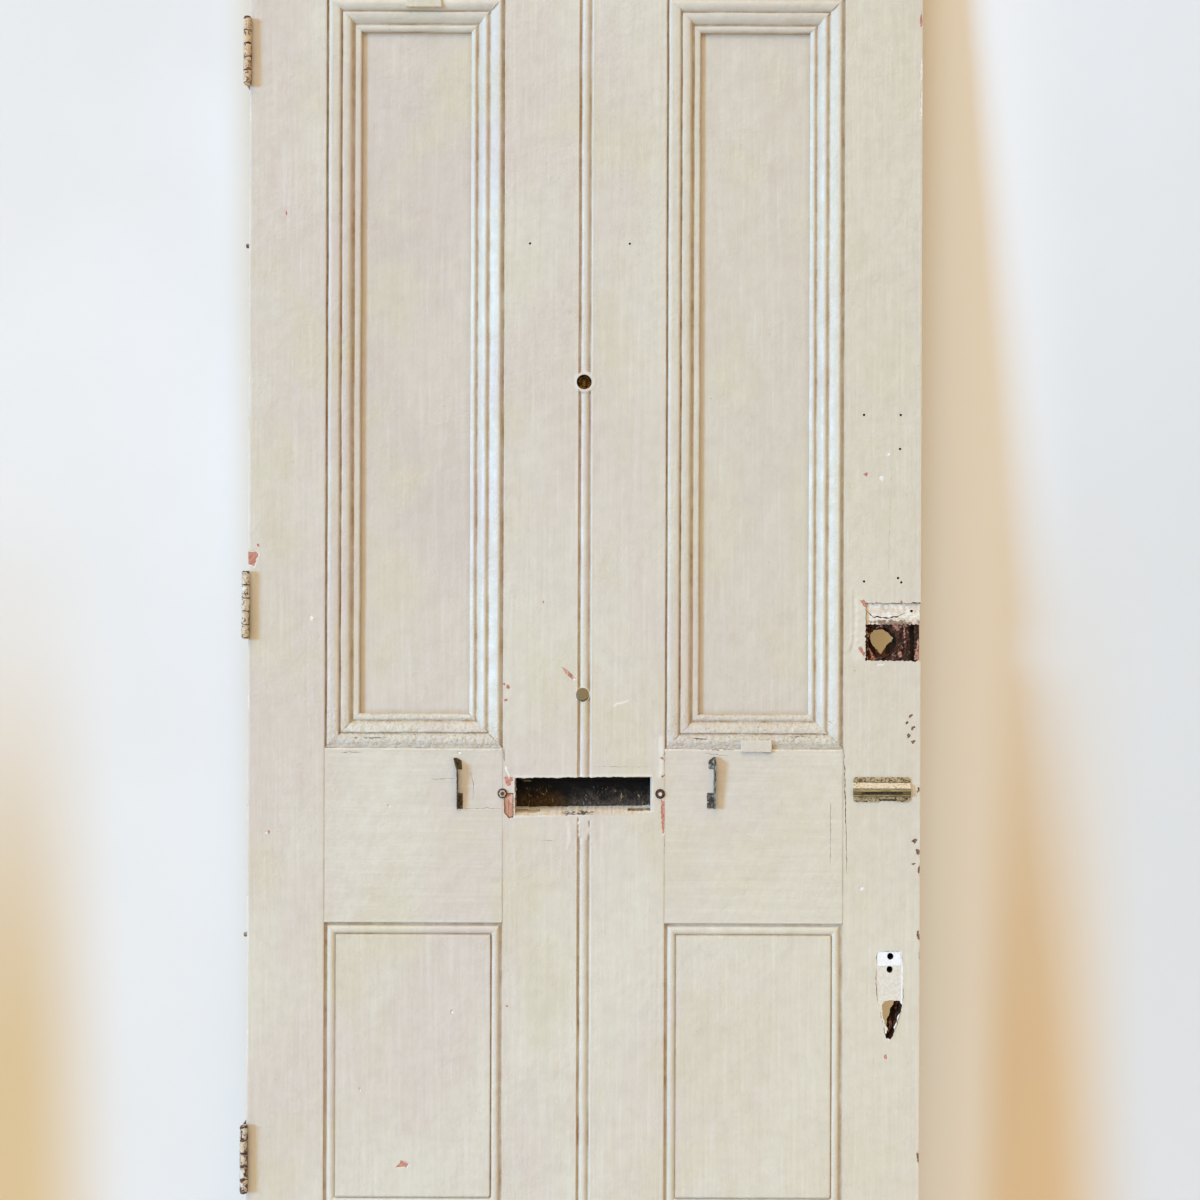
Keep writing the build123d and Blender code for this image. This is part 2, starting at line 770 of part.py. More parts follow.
# Screws of the door-side leaves: a shank, a countersunk head and its slot
sink_depth = (hinge_screw_head_radius - hinge_screw_radius) / tan(radians(hinge_sink_angle / 2))
outward = (Align.CENTER, Align.CENTER, Align.MAX)
with BuildPart() as hinge_screws:
    for centre in hinge_heights.values():
        for z in hinge_screw_heights(centre):
            with Locations(Plane(origin=(-half_width, hinge_screw_y, z), z_dir=(-1, 0, 0))):
                Cylinder(hinge_screw_radius, hinge_screw_length, align=outward)
                Cone(hinge_screw_radius, hinge_screw_head_radius, sink_depth, align=outward)
                Box(
                    screw_slot_width,
                    2 * hinge_screw_head_radius,
                    screw_slot_depth,
                    align=outward,
                    mode=Mode.SUBTRACT,
                )
hinge_screws.part.label = "hinge_screws"
export_step(hinge_screws.part, "parts/hinge_screws.step")

with BuildPart() as dog_bolts:
    for z in dog_bolt_heights:
        tip = (-half_width - dog_bolt_reach, 0, z)
        shoulder = (-half_width - dog_bolt_shoulder_gap, 0, z)
        root = (-half_width + dog_bolt_depth, 0, z)
        rod(dog_bolt_radius, tip, shoulder, "x")
        rod(dog_bolt_shank_radius, shoulder, root, "x")
    chamfer(dog_bolts.edges().group_by(Axis.X)[0], length=bolt_ease)
dog_bolts.part.label = "dog_bolts"
export_step(dog_bolts.part, "parts/dog_bolts.step")


# Letter plate on the street face, with the lugs that carry its flap inside the slot
flap_pin_y = back - flap_gap - flap_barrel_radius
flap_pin_z = slot_bottom + flap_pin_rise
lug_inner = slot_width / 2 - lug_side_room - lug_thickness
plate_middle = slot_bottom + slot_height / 2
aperture_bottom = slot_bottom + plate_aperture_rise

with BuildPart() as letter_plate:
    bar(
        (plate_centre_x - plate_width / 2, back, plate_middle - plate_height / 2),
        (plate_centre_x + plate_width / 2, back + plate_thickness, plate_middle + plate_height / 2),
    )
    chamfer(letter_plate.faces().sort_by(Axis.Y)[-1].edges(), length=plate_ease)
    bar(
        (slot_centre_x - plate_aperture_width / 2, back, aperture_bottom),
        (
            slot_centre_x + plate_aperture_width / 2,
            back + plate_thickness,
            aperture_bottom + plate_aperture_height,
        ),
        Mode.SUBTRACT,
    )
    for side in sides.values():
        inner = slot_centre_x + side * lug_inner
        bar(
            (inner, flap_pin_y - flap_barrel_radius, flap_pin_z - lug_drop),
            (inner + side * lug_thickness, back, flap_pin_z + flap_barrel_radius),
        )
    pin_ends = (slot_centre_x - slot_width / 2, slot_centre_x + slot_width / 2)
    rod(
        flap_pin_radius,
        (pin_ends[0], flap_pin_y, flap_pin_z),
        (pin_ends[1], flap_pin_y, flap_pin_z),
        "x",
        Mode.SUBTRACT,
    )
    for x in plate_bolt_places:
        start = (x, back, plate_bolt_z)
        end = (x, back + plate_thickness, plate_bolt_z)
        rod(plate_bolt_radius, start, end, "y", Mode.SUBTRACT)
letter_plate.part.label = "letter_plate"
export_step(letter_plate.part, "parts/letter_plate.step")

with BuildPart() as flap_pin:
    reach = lug_inner + lug_thickness
    start = (slot_centre_x - reach, flap_pin_y, flap_pin_z)
    end = (slot_centre_x + reach, flap_pin_y, flap_pin_z)
    rod(flap_pin_radius, start, end, "x")
flap_pin.part.label = "flap_pin"
export_step(flap_pin.part, "parts/flap_pin.step")

flap_left = slot_centre_x - lug_inner + flap_side_gap
flap_right = slot_centre_x + lug_inner - flap_side_gap
barrel_left = flap_left + spring_room
flap_outer_y = flap_pin_y + flap_barrel_radius
flap_top = flap_pin_z - flap_barrel_radius - flap_spring_room

with BuildPart() as letter_flap:
    bar(
        (flap_left, flap_outer_y - flap_thickness, flap_pin_z - flap_length),
        (flap_right, flap_outer_y, flap_top),
    )
    bar(
        (barrel_left, flap_outer_y - flap_thickness, flap_top),
        (flap_right, flap_outer_y, flap_pin_z),
    )
    start = (barrel_left, flap_pin_y, flap_pin_z)
    end = (flap_right, flap_pin_y, flap_pin_z)
    rod(flap_barrel_radius, start, end, "x")
    rod(flap_pin_radius + pin_running_clearance, start, end, "x", Mode.SUBTRACT)
letter_flap.part.label = "letter_flap"
export_step(letter_flap.part, "parts/letter_flap.step")

# Coil spring on the flap's pin
spring_left = slot_centre_x - lug_inner + spring_wire_radius + spring_end_gap
spring_height = spring_room - 2 * (spring_wire_radius + spring_end_gap)
spring_radius = flap_pin_radius + spring_wire_radius
with BuildPart() as flap_spring:
    with BuildLine():
        coil = Helix(
            pitch=spring_pitch,
            height=spring_height,
            radius=spring_radius,
            center=(spring_left, flap_pin_y, flap_pin_z),
            direction=(1, 0, 0),
        )
    with BuildSketch(Plane(origin=coil @ 0, z_dir=coil % 0)):
        Circle(spring_wire_radius)
    sweep(path=coil, is_frenet=True)
flap_spring.part.label = "flap_spring"
export_step(flap_spring.part, "parts/flap_spring.step")

with BuildPart() as plate_bolts:
    for x in plate_bolt_places:
        start = (x, front - plate_bolt_end, plate_bolt_z)
        end = (x, back + plate_thickness, plate_bolt_z)
        rod(plate_bolt_radius, start, end, "y")
        head_end = (x, back + plate_thickness + plate_head_height, plate_bolt_z)
        rod(plate_head_radius, end, head_end, "y")
plate_bolts.part.label = "letter_plate_bolts"
export_step(plate_bolts.part, "parts/letter_plate_bolts.step")

with BuildPart() as plate_washers:
    for x in plate_bolt_places:
        start = (x, front - washer_thickness, plate_bolt_z)
        end = (x, front, plate_bolt_z)
        rod(washer_radius, start, end, "y")
        rod(plate_bolt_radius, start, end, "y", Mode.SUBTRACT)
plate_washers.part.label = "letter_plate_washers"
export_step(plate_washers.part, "parts/letter_plate_washers.step")

with BuildPart() as plate_nuts:
    nut_back = front - washer_thickness
    with BuildSketch(Plane.XZ.offset(-nut_back)):
        with Locations(*[(x, plate_bolt_z) for x in plate_bolt_places]):
            RegularPolygon(nut_across_flats / 2, 6, major_radius=False)
            Circle(plate_bolt_radius, mode=Mode.SUBTRACT)
    extrude(amount=nut_height)
plate_nuts.part.label = "letter_plate_nuts"
export_step(plate_nuts.part, "parts/letter_plate_nuts.step")


# Basket brackets: a strip standing off the face on two small tabs
for side_name, bracket in brackets.items():
    low = slot_bottom + bracket["rise"]
    with BuildPart() as basket_bracket:
        with BuildSketch(Plane.YZ.offset(bracket["x"])):
            with BuildLine():
                Polyline(
                    (front, low),
                    (front - bracket_stand_off_bottom, low),
                    (front - bracket_stand_off_top, low + bracket_height - bracket_corner_cut),
                    (front - bracket_stand_off_top / 2, low + bracket_height),
                    (front, low + bracket_height),
                    close=True,
                )
            make_face()
        extrude(amount=bracket_strip_thickness / 2, both=True)
        for tab in bracket_tabs(bracket):
            bar(
                (bracket["x"], front - bracket_tab_thickness, tab["bottom"]),
                (tab["edge"], front, tab["top"]),
            )
            x, z = tab["screw"]
            start = (x, front - bracket_tab_thickness, z)
            rod(bracket_screw_radius, start, (x, front, z), "y", Mode.SUBTRACT)
    basket_bracket.part.label = f"basket_bracket_{side_name}"
    export_step(basket_bracket.part, f"parts/{basket_bracket.part.label}.step")

with BuildPart() as bracket_screws:
    seat = front - bracket_tab_thickness
    for bracket in brackets.values():
        for tab in bracket_tabs(bracket):
            x, z = tab["screw"]
            rod(bracket_screw_radius, (x, seat, z), (x, seat + bracket_screw_length, z), "y")
            rod(bracket_screw_head_radius, (x, seat - bracket_screw_head_height, z), (x, seat, z), "y")
    chamfer(bracket_screws.edges().filter_by(GeomType.CIRCLE).group_by(Axis.Y)[0], length=fine_ease)
bracket_screws.part.label = "bracket_screws"
export_step(bracket_screws.part, "parts/bracket_screws.step")

# Door-chain slide: a flat plate with a hollow ridge, a slot along the ridge and a broken lower flange
with BuildPart() as chain_slide:
    ridge_low = chain_base + chain_ridge_bottom
    ridge_high = chain_base + chain_ridge_top
    ridge_face = front - chain_ridge_proud
    with BuildSketch(Plane.YZ.offset(chain_x)):
        with BuildLine():
            Polyline(
                (front, chain_base),
                (front - chain_sheet, chain_base),
                (front - chain_sheet, ridge_low),
                (ridge_face, ridge_low + chain_ridge_lean),
                (ridge_face, ridge_high - chain_ridge_slope),
                (front - chain_sheet, ridge_high),
                (front - chain_sheet, chain_base + chain_height),
                (front, chain_base + chain_height),
                close=True,
            )
        make_face()
    extrude(amount=chain_width / 2, both=True)
    # Hollow behind the ridge
    hollow_face = ridge_face + chain_sheet
    with BuildSketch(Plane.YZ.offset(chain_x)):
        with BuildLine():
            Polyline(
                (front, ridge_low + chain_sheet),
                (hollow_face, ridge_low + chain_sheet + chain_ridge_lean),
                (hollow_face, ridge_high - chain_ridge_slope - chain_ridge_lean),
                (front, ridge_high - chain_sheet),
                close=True,
            )
        make_face()
    extrude(amount=chain_width / 2 - chain_sheet, both=True, mode=Mode.SUBTRACT)
    slot_low = ridge_low + (ridge_high - chain_ridge_slope - ridge_low) / 3
    bar(
        (chain_x - chain_slot_length / 2, ridge_face, slot_low),
        (chain_x + chain_slot_length / 2, hollow_face, slot_low + chain_slot_height),
        Mode.SUBTRACT,
    )
    bar(
        (chain_x + chain_window_x - chain_window_width / 2, front - chain_sheet, chain_base),
        (chain_x + chain_window_x + chain_window_width / 2, front, chain_base + chain_window_height),
        Mode.SUBTRACT,
    )
    for x, z in chain_screw_places:
        rod(chain_screw_radius, (x, front - chain_sheet, z), (x, front, z), "y", Mode.SUBTRACT)
chain_slide.part.label = "chain_slide"
export_step(chain_slide.part, "parts/chain_slide.step")

with BuildPart() as chain_slide_screws:
    for x, z in chain_screw_places:
        seat = front - chain_sheet
        rod(chain_screw_radius, (x, seat, z), (x, seat + chain_screw_length, z), "y")
        rod(chain_screw_head_radius, (x, seat - chain_screw_head_height, z), (x, seat, z), "y")
    chamfer(chain_slide_screws.edges().filter_by(GeomType.CIRCLE).group_by(Axis.Y)[0], length=fine_ease)
chain_slide_screws.part.label = "chain_slide_screws"
export_step(chain_slide_screws.part, "parts/chain_slide_screws.step")
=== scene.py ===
import math

import bpy
import bmesh
import numpy as np
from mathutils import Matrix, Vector


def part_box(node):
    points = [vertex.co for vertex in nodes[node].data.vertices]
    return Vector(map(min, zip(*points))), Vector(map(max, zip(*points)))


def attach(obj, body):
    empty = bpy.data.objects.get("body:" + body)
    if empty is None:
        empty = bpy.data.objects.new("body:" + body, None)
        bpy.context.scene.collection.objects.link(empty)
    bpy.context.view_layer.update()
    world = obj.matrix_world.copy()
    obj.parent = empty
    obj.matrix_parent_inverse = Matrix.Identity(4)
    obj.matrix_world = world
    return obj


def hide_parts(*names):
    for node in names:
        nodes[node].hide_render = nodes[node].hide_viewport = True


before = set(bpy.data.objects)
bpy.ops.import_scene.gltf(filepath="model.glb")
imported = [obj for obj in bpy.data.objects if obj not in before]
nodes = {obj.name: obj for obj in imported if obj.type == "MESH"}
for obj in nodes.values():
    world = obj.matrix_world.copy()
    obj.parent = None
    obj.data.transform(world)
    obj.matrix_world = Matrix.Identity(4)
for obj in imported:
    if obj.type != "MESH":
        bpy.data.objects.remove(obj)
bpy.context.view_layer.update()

MM = 0.001

# The leaf's main planes and edges, read from the frame, in metres
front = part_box("lock_stile")[0].y
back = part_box("lock_stile")[1].y
leaf_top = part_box("lock_stile")[1].z
half_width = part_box("lock_stile")[1].x
opening_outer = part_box("lock_stile")[0].x
opening_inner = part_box("meeting_stile_right")[1].x
joint_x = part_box("meeting_stile_right")[0].x
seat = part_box("upper_panel_left")[0].y
upper_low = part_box("upper_left_moulding_bottom")[0].z
upper_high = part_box("upper_left_moulding_top")[1].z
lower_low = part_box("lower_beads_left")[0].z
lower_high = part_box("lower_beads_left")[1].z
moulding_width = 46.4 * MM
levels = {"lower": (lower_low, lower_high), "upper": (upper_low, upper_high)}
sides = {"left": -1, "right": 1}


# The photograph: the place on the face at its middle and the size of a pixel, in millimetres, and its turn
photo_x, photo_z = 21.2, 1049.8
pixel = 1.3575
photo_turn = 0.0035
half_frame = 600


def spot(across, down):
    """The place on the leaf's face, as x and z in millimetres, of a point of the 1200 by 1200 photograph."""
    x, z = across - half_frame, half_frame - down
    return photo_x + pixel * (x - photo_turn * z), photo_z + pixel * (z + photo_turn * x)


def spots(*points):
    return [spot(*point) for point in points]


def marks(*points):
    """Points of the photograph as places on the face, in metres."""
    return [(x * MM, z * MM) for x, z in spots(*points)]


# Numbers and curves

def waves(points, size, seed):
    """Smooth unevenness of about unit height: a mean of sine waves in seeded directions whose lengths are
    near size. The last axis of points holds x, y and z."""
    count = 9
    draw = np.random.default_rng(seed)
    ways = draw.normal(size=(count, 3))
    ways /= np.linalg.norm(ways, axis=1, keepdims=True)
    ways *= (2 * math.pi / size * draw.uniform(0.6, 1.7, count))[:, None]
    starts = draw.uniform(0, 2 * math.pi, count)
    return np.sin(np.asarray(points) @ ways.T + starts).sum(axis=-1) / math.sqrt(count)


def hand_made(points):
    """Moves every point of a timber surface by one shared smooth field, a broad and a fine wave a few
    tenths of a millimetre high, so that neighbouring pieces stay together."""
    points = np.asarray(points, float)
    broad = np.stack([waves(points, 0.11, seed) for seed in (1, 2, 3)], axis=-1)
    fine = np.stack([waves(points, 0.024, seed) for seed in (4, 5, 6)], axis=-1)
    return points + broad * (0.16 * MM, 0.08 * MM, 0.16 * MM) + fine * (0.09 * MM, 0.07 * MM, 0.09 * MM)


def even_line(line, step):
    """A polyline resampled at nearly even steps."""
    line = np.asarray(line, float)
    run = np.concatenate([[0], np.cumsum(np.linalg.norm(np.diff(line, axis=0), axis=1))])
    stops = np.linspace(0, run[-1], max(int(round(run[-1] / step)), 2) + 1)
    return np.stack([np.interp(stops, run, line[:, k]) for k in range(line.shape[1])], axis=1)


def soften(line, sigma, step):
    """A polyline resampled at even steps and smoothed by a Gaussian along its length, its ends held."""
    dense = even_line(line, step)
    reach = int(math.ceil(3 * sigma / step))
    kernel = np.exp(-0.5 * (np.arange(-reach, reach + 1) * step / sigma) ** 2)
    kernel /= kernel.sum()
    padded = np.vstack([2 * dense[0] - dense[reach:0:-1], dense, 2 * dense[-1] - dense[-2:-reach - 2:-1]])
    return np.stack([np.convolve(padded[:, k], kernel, "valid") for k in range(dense.shape[1])], axis=1)


def arc(start, middle, end, count=14):
    """Points on the circle through three points of a plane, from start to end."""
    a, b, c = (complex(*p) for p in (start, middle, end))
    w = (c - a) / (b - a)
    centre = (b - a) * (w - abs(w) ** 2) / (2j * w.imag) + a
    turn = np.angle((c - centre) / (a - centre))
    through = np.angle((b - centre) / (a - centre))
    if abs(through) > abs(turn) or through * turn < 0:
        turn -= math.copysign(2 * math.pi, turn)
    swept = centre + (a - centre) * np.exp(1j * np.linspace(0, turn, count))
    return np.stack([swept.real, swept.imag], axis=1)


def stations(low, high, coarse, fine, spans):
    """Heights from low to high, coarse apart, and fine apart inside the spans."""
    stops = [low]
    while stops[-1] < high - 1e-9:
        inside = any(a - coarse < stops[-1] < b for a, b in spans)
        stops.append(min(stops[-1] + (fine if inside else coarse), high))
    return np.array(stops)


# Meshes

def make_piece(name, points, faces, materials=(), shares=None, values=None):
    """One mesh object at the origin. shares holds the material index of each face, values one number per
    point for each attribute."""
    mesh = bpy.data.meshes.new(name)
    mesh.from_pydata(np.asarray(points, float).tolist(), [], faces)
    for material in materials:
        mesh.materials.append(material)
    if shares is not None:
        mesh.polygons.foreach_set("material_index", np.asarray(shares, np.int32))
    for key, numbers in (values or {}).items():
        layer = mesh.attributes.new(key, "FLOAT", "POINT")
        layer.data.foreach_set("value", np.asarray(numbers, np.float32).ravel())
    piece = bpy.data.objects.new(name, mesh)
    bpy.context.scene.collection.objects.link(piece)
    return piece


def face_out(piece):
    """Turns every face of a closed mesh outwards."""
    sheet = bmesh.new()
    sheet.from_mesh(piece.data)
    bmesh.ops.recalc_face_normals(sheet, faces=sheet.faces)
    sheet.to_mesh(piece.data)
    sheet.free()


def smooth(piece, angle=35):
    """Smooth shading, with sharp edges past the angle in degrees."""
    piece.data.shade_smooth()
    piece.data.set_sharp_from_angle(angle=math.radians(angle))
    return piece


def tube_faces(m, n, first=0):
    """Faces of a closed solid through m rings of n points, with one flat face at each end."""
    i, j = np.meshgrid(np.arange(m - 1), np.arange(n), indexing="ij")
    k = (j + 1) % n
    quads = np.stack([i * n + j, i * n + k, (i + 1) * n + k, (i + 1) * n + j], axis=-1)
    quads = quads.reshape(-1, 4) + first
    foot = np.arange(n)[::-1] + first
    head = (m - 1) * n + np.arange(n) + first
    return quads.tolist() + [foot.tolist(), head.tolist()]


def loft(name, rings, materials=(), values=None):
    """A closed solid through rings of points, one ring after the other."""
    rings = np.asarray(rings, float)
    m, n = rings.shape[:2]
    piece = make_piece(name, rings.reshape(-1, 3), tube_faces(m, n), materials, values=values)
    face_out(piece)
    return piece


def lofts(name, many, materials=(), values=None):
    """Several closed solids in one mesh."""
    points, faces, first = [], [], 0
    for rings in many:
        rings = np.asarray(rings, float)
        points.append(rings.reshape(-1, 3))
        faces += tube_faces(*rings.shape[:2], first)
        first += rings.shape[0] * rings.shape[1]
    piece = make_piece(name, np.vstack(points), faces, materials, values=values)
    face_out(piece)
    return piece


def settle(piece):
    """Applies a piece's modifiers to its mesh."""
    bpy.context.view_layer.update()
    shaped = piece.evaluated_get(bpy.context.evaluated_depsgraph_get())
    mesh = bpy.data.meshes.new_from_object(shaped)
    piece.modifiers.clear()
    piece.data = mesh
    return piece


def throw_away(piece):
    mesh = piece.data
    bpy.data.objects.remove(piece)
    bpy.data.meshes.remove(mesh)


def carve(piece, cutter):
    """Takes a closed cutter out of the piece. The cut faces get the cutter's materials."""
    cut = piece.modifiers.new("carve", "BOOLEAN")
    cut.operation = "DIFFERENCE"
    cut.solver = "MANIFOLD"
    cut.material_mode = "TRANSFER"
    cut.object = cutter
    settle(piece)
    throw_away(cutter)
    return piece


def ragged(corners, amount, size, seed, step=1.2):
    """A closed outline through corners in millimetres, walked at even steps and pushed about by smooth
    noise."""
    line = even_line([*corners, corners[0]], step)[:-1]
    places = np.column_stack([line, np.zeros(len(line))])
    shift = np.stack([waves(places, size, seed), waves(places, size, seed + 50)], axis=1)
    crumbs = np.stack([waves(places, size / 3, seed + 7), waves(places, size / 3, seed + 57)], axis=1)
    return line + amount * shift + 0.4 * amount * crumbs


def oval(centre, radii, uneven, seed, count=40, turn=0.0):
    """A closed uneven oval: its radius is a sum of a few cosines of the angle."""
    draw = np.random.default_rng(seed)
    angle = np.linspace(0, 2 * math.pi, count, endpoint=False)
    size = 1 + uneven * sum(0.6 ** k * np.cos(k * angle + draw.uniform(0, 6.3)) for k in (2, 3, 5, 7, 11))
    x = radii[0] * size * np.cos(angle)
    z = radii[1] * size * np.sin(angle)
    c, s = math.cos(turn), math.sin(turn)
    return np.column_stack([centre[0] + c * x - s * z, centre[1] + s * x + c * z])


# Cutting shapes start this far above the face, in millimetres
cut_start = -4


def at_depth(outline, depth, shrink=1.0):
    """An outline in millimetres drawn in to its middle and laid at a depth below the face, in metres."""
    middle = outline.mean(axis=0)
    flat = (middle + (outline - middle) * shrink) * MM
    y = np.broadcast_to(front + np.asarray(depth) * MM, len(flat))
    return np.column_stack([flat[:, 0], y, flat[:, 1]])


def sinking(outline, depth, rough=0.3, seed=1, draft=0.1, size=5.0, rings=7):
    """A hollow with steep sides and an uneven floor: the outline above the face, then at its depth, then
    drawn in ring by ring to the middle. Band 0 is the side and band 1 the floor."""
    steps = [at_depth(outline, cut_start), at_depth(outline, -0.02)]
    for shrink in np.linspace(1 - draft, 0.06, rings):
        flat = at_depth(outline, 0, shrink)
        uneven = waves(flat, size * MM, seed) + 0.5 * waves(flat, size * MM / 3, seed + 3)
        steps.append(at_depth(outline, depth + rough * uneven, shrink))
    return steps, [0, 0, *[1] * (rings - 1)]


def shaft(outline, end, layers=8, rough=0.25, seed=1, taper=1.0, shift=(0, 0)):
    """A hole right through or down to end: the outline carried inwards, roughened from layer to layer."""
    steps = []
    for t in np.linspace(0, 1, layers):
        depth = cut_start + t * (end - cut_start)
        ring_points = at_depth(outline, depth, 1 + t * (taper - 1))
        ring_points[:, 0] += t * shift[0] * MM
        ring_points[:, 2] += t * shift[1] * MM
        out = np.stack([waves(ring_points, 6 * MM, seed), waves(ring_points, 6 * MM, seed + 9)], axis=1)
        ring_points[:, [0, 2]] += out * rough * MM * (depth > 0)
        steps.append(ring_points)
    return steps, [0] * (layers - 1)


def furrow(points, width, depth, seed=1, wander=0.3, floor=0.0):
    """A crack or scratch: a triangular section carried along a wandering line, pinched at both ends. floor
    is the depth of the surface that it is cut in."""
    line = even_line(points, 1.5)
    places = np.column_stack([line, np.zeros(len(line))])
    line = line + wander * np.stack([waves(places, 9, seed), waves(places, 9, seed + 1)], axis=1)
    way = np.gradient(line, axis=0)
    way /= np.linalg.norm(way, axis=1, keepdims=True)
    aside = np.column_stack([-way[:, 1], way[:, 0]])
    t = np.linspace(0, 1, len(line))
    size = np.sin(math.pi * t) ** 0.4 * (1 + 0.35 * waves(places, 7, seed + 2)) + 0.05
    half = (width / 2 * size)[:, None]
    left, right = line - aside * half * 1.3, line + aside * half * 1.3
    steps = np.empty((len(line), 3, 3))
    three = ((left, floor - 0.6), (right, floor - 0.6), (line, floor + depth * size))
    for k, (flat, down) in enumerate(three):
        steps[:, k, 0] = flat[:, 0] * MM
        steps[:, k, 1] = front + np.asarray(down) * MM
        steps[:, k, 2] = flat[:, 1] * MM
    return steps, [0] * (len(line) - 1)


def cutter(cuts, *materials):
    """One mesh of closed cutting shapes. Each cut is its rings and the material number of each band."""
    points, faces, shares, first = [], [], [], 0
    for steps, bands in cuts:
        steps = np.asarray(steps, float)
        m, n = steps.shape[:2]
        points.append(steps.reshape(-1, 3))
        faces += tube_faces(m, n, first)
        shares += np.repeat(bands, n).tolist() + [bands[0], bands[-1]]
        first += m * n
    piece = make_piece("cutter", np.vstack(points), faces, materials, shares)
    face_out(piece)
    return piece


def cut_out(piece, cuts, *materials):
    """Carves cutting shapes out of a piece, and gives their bands these materials."""
    carve(piece, cutter(cuts, *materials))


def blocks(corners, material):
    """Square blocks between pairs of opposite corners, in millimetres, as one cutter."""
    rings = []
    for (x0, y0, z0), (x1, y1, z1) in corners:
        flat = [(x0, y0), (x1, y0), (x1, y1), (x0, y1)]
        rings.append([[(x * MM, y * MM, z * MM) for x, y in flat] for z in (z0, z1)])
    return lofts("blocks", rings, [material])


# Materials

def screen(r, g, b):
    """A screen colour, 0 to 255, as a scene colour."""
    c = np.array([r, g, b]) / 255
    c = np.where(c <= 0.04045, c / 12.92, ((c + 0.055) / 1.055) ** 2.4)
    return (float(c[0]), float(c[1]), float(c[2]), 1.0)


class Recipe:
    """Adds nodes to one node tree. A socket given as a value is linked, anything else is set."""

    def __init__(self, tree):
        self.tree = tree

    def put(self, socket, value):
        if isinstance(value, bpy.types.NodeSocket):
            self.tree.links.new(value, socket)
        else:
            socket.default_value = value

    def add(self, kind, inputs=None, **settings):
        node = self.tree.nodes.new(kind)
        for key, value in settings.items():
            setattr(node, key, value)
        for key, value in (inputs or {}).items():
            self.put(node.inputs[key], value)
        return node

    def place(self):
        return self.add("ShaderNodeTexCoord").outputs["Object"]

    def stretched(self, vector, scale, shift=(0, 0, 0)):
        inputs = {"Vector": vector, "Scale": scale, "Location": shift}
        return self.add("ShaderNodeMapping", inputs).outputs[0]

    def noise(self, vector, scale, detail=2.0, rough=0.5, bend=0.0):
        inputs = {"Vector": vector, "Scale": scale, "Detail": detail, "Roughness": rough, "Distortion": bend}
        return self.add("ShaderNodeTexNoise", inputs).outputs["Fac"]

    def op(self, operation, a, b=0.0, clamp=False):
        """One step of arithmetic on one or two values."""
        node = self.add("ShaderNodeMath", operation=operation, use_clamp=clamp)
        self.put(node.inputs[0], a)
        self.put(node.inputs[1], b)
        return node.outputs[0]

    def rise(self, value, low, high, to_low=0.0, to_high=1.0):
        """Goes smoothly from to_low to to_high as the value goes from low to high."""
        inputs = {"Value": value, "From Min": low, "From Max": high, "To Min": to_low, "To Max": to_high}
        return self.add("ShaderNodeMapRange", inputs, interpolation_type="SMOOTHSTEP").outputs[0]

    def mix(self, share, a, b):
        """Colour a where the share is 0 and b where it is 1."""
        node = self.add("ShaderNodeMix", data_type="RGBA")
        self.put(node.inputs[0], share)
        self.put(node.inputs[6], a)
        self.put(node.inputs[7], b)
        return node.outputs[2]

    def bump(self, height, distance, strength=1.0):
        inputs = {"Height": height, "Distance": distance, "Strength": strength}
        return self.add("ShaderNodeBump", inputs).outputs[0]


def new_group(name, takes, gives):
    """A node group with named inputs and outputs, and its recipe, input sockets and output node."""
    tree = bpy.data.node_groups.new(name, "ShaderNodeTree")
    kinds = {"colour": "NodeSocketColor", "number": "NodeSocketFloat", "vector": "NodeSocketVector"}
    for label, kind, value in takes:
        socket = tree.interface.new_socket(label, in_out="INPUT", socket_type=kinds[kind])
        socket.default_value = value
    for label, kind in gives:
        tree.interface.new_socket(label, in_out="OUTPUT", socket_type=kinds[kind])
    return tree, Recipe(tree), tree.nodes.new("NodeGroupInput").outputs, tree.nodes.new("NodeGroupOutput")


def new_material(name):
    """A material with an empty tree but for its shader, and its recipe."""
    material = bpy.data.materials.new(name)
    material.use_nodes = True
    return material, Recipe(material.node_tree), material.node_tree.nodes["Principled BSDF"]


def use_group(recipe, tree, **values):
    node = recipe.add("ShaderNodeGroup", node_tree=tree)
    for key, value in values.items():
        recipe.put(node.inputs[key.replace("_", " ")], value)
    return node.outputs


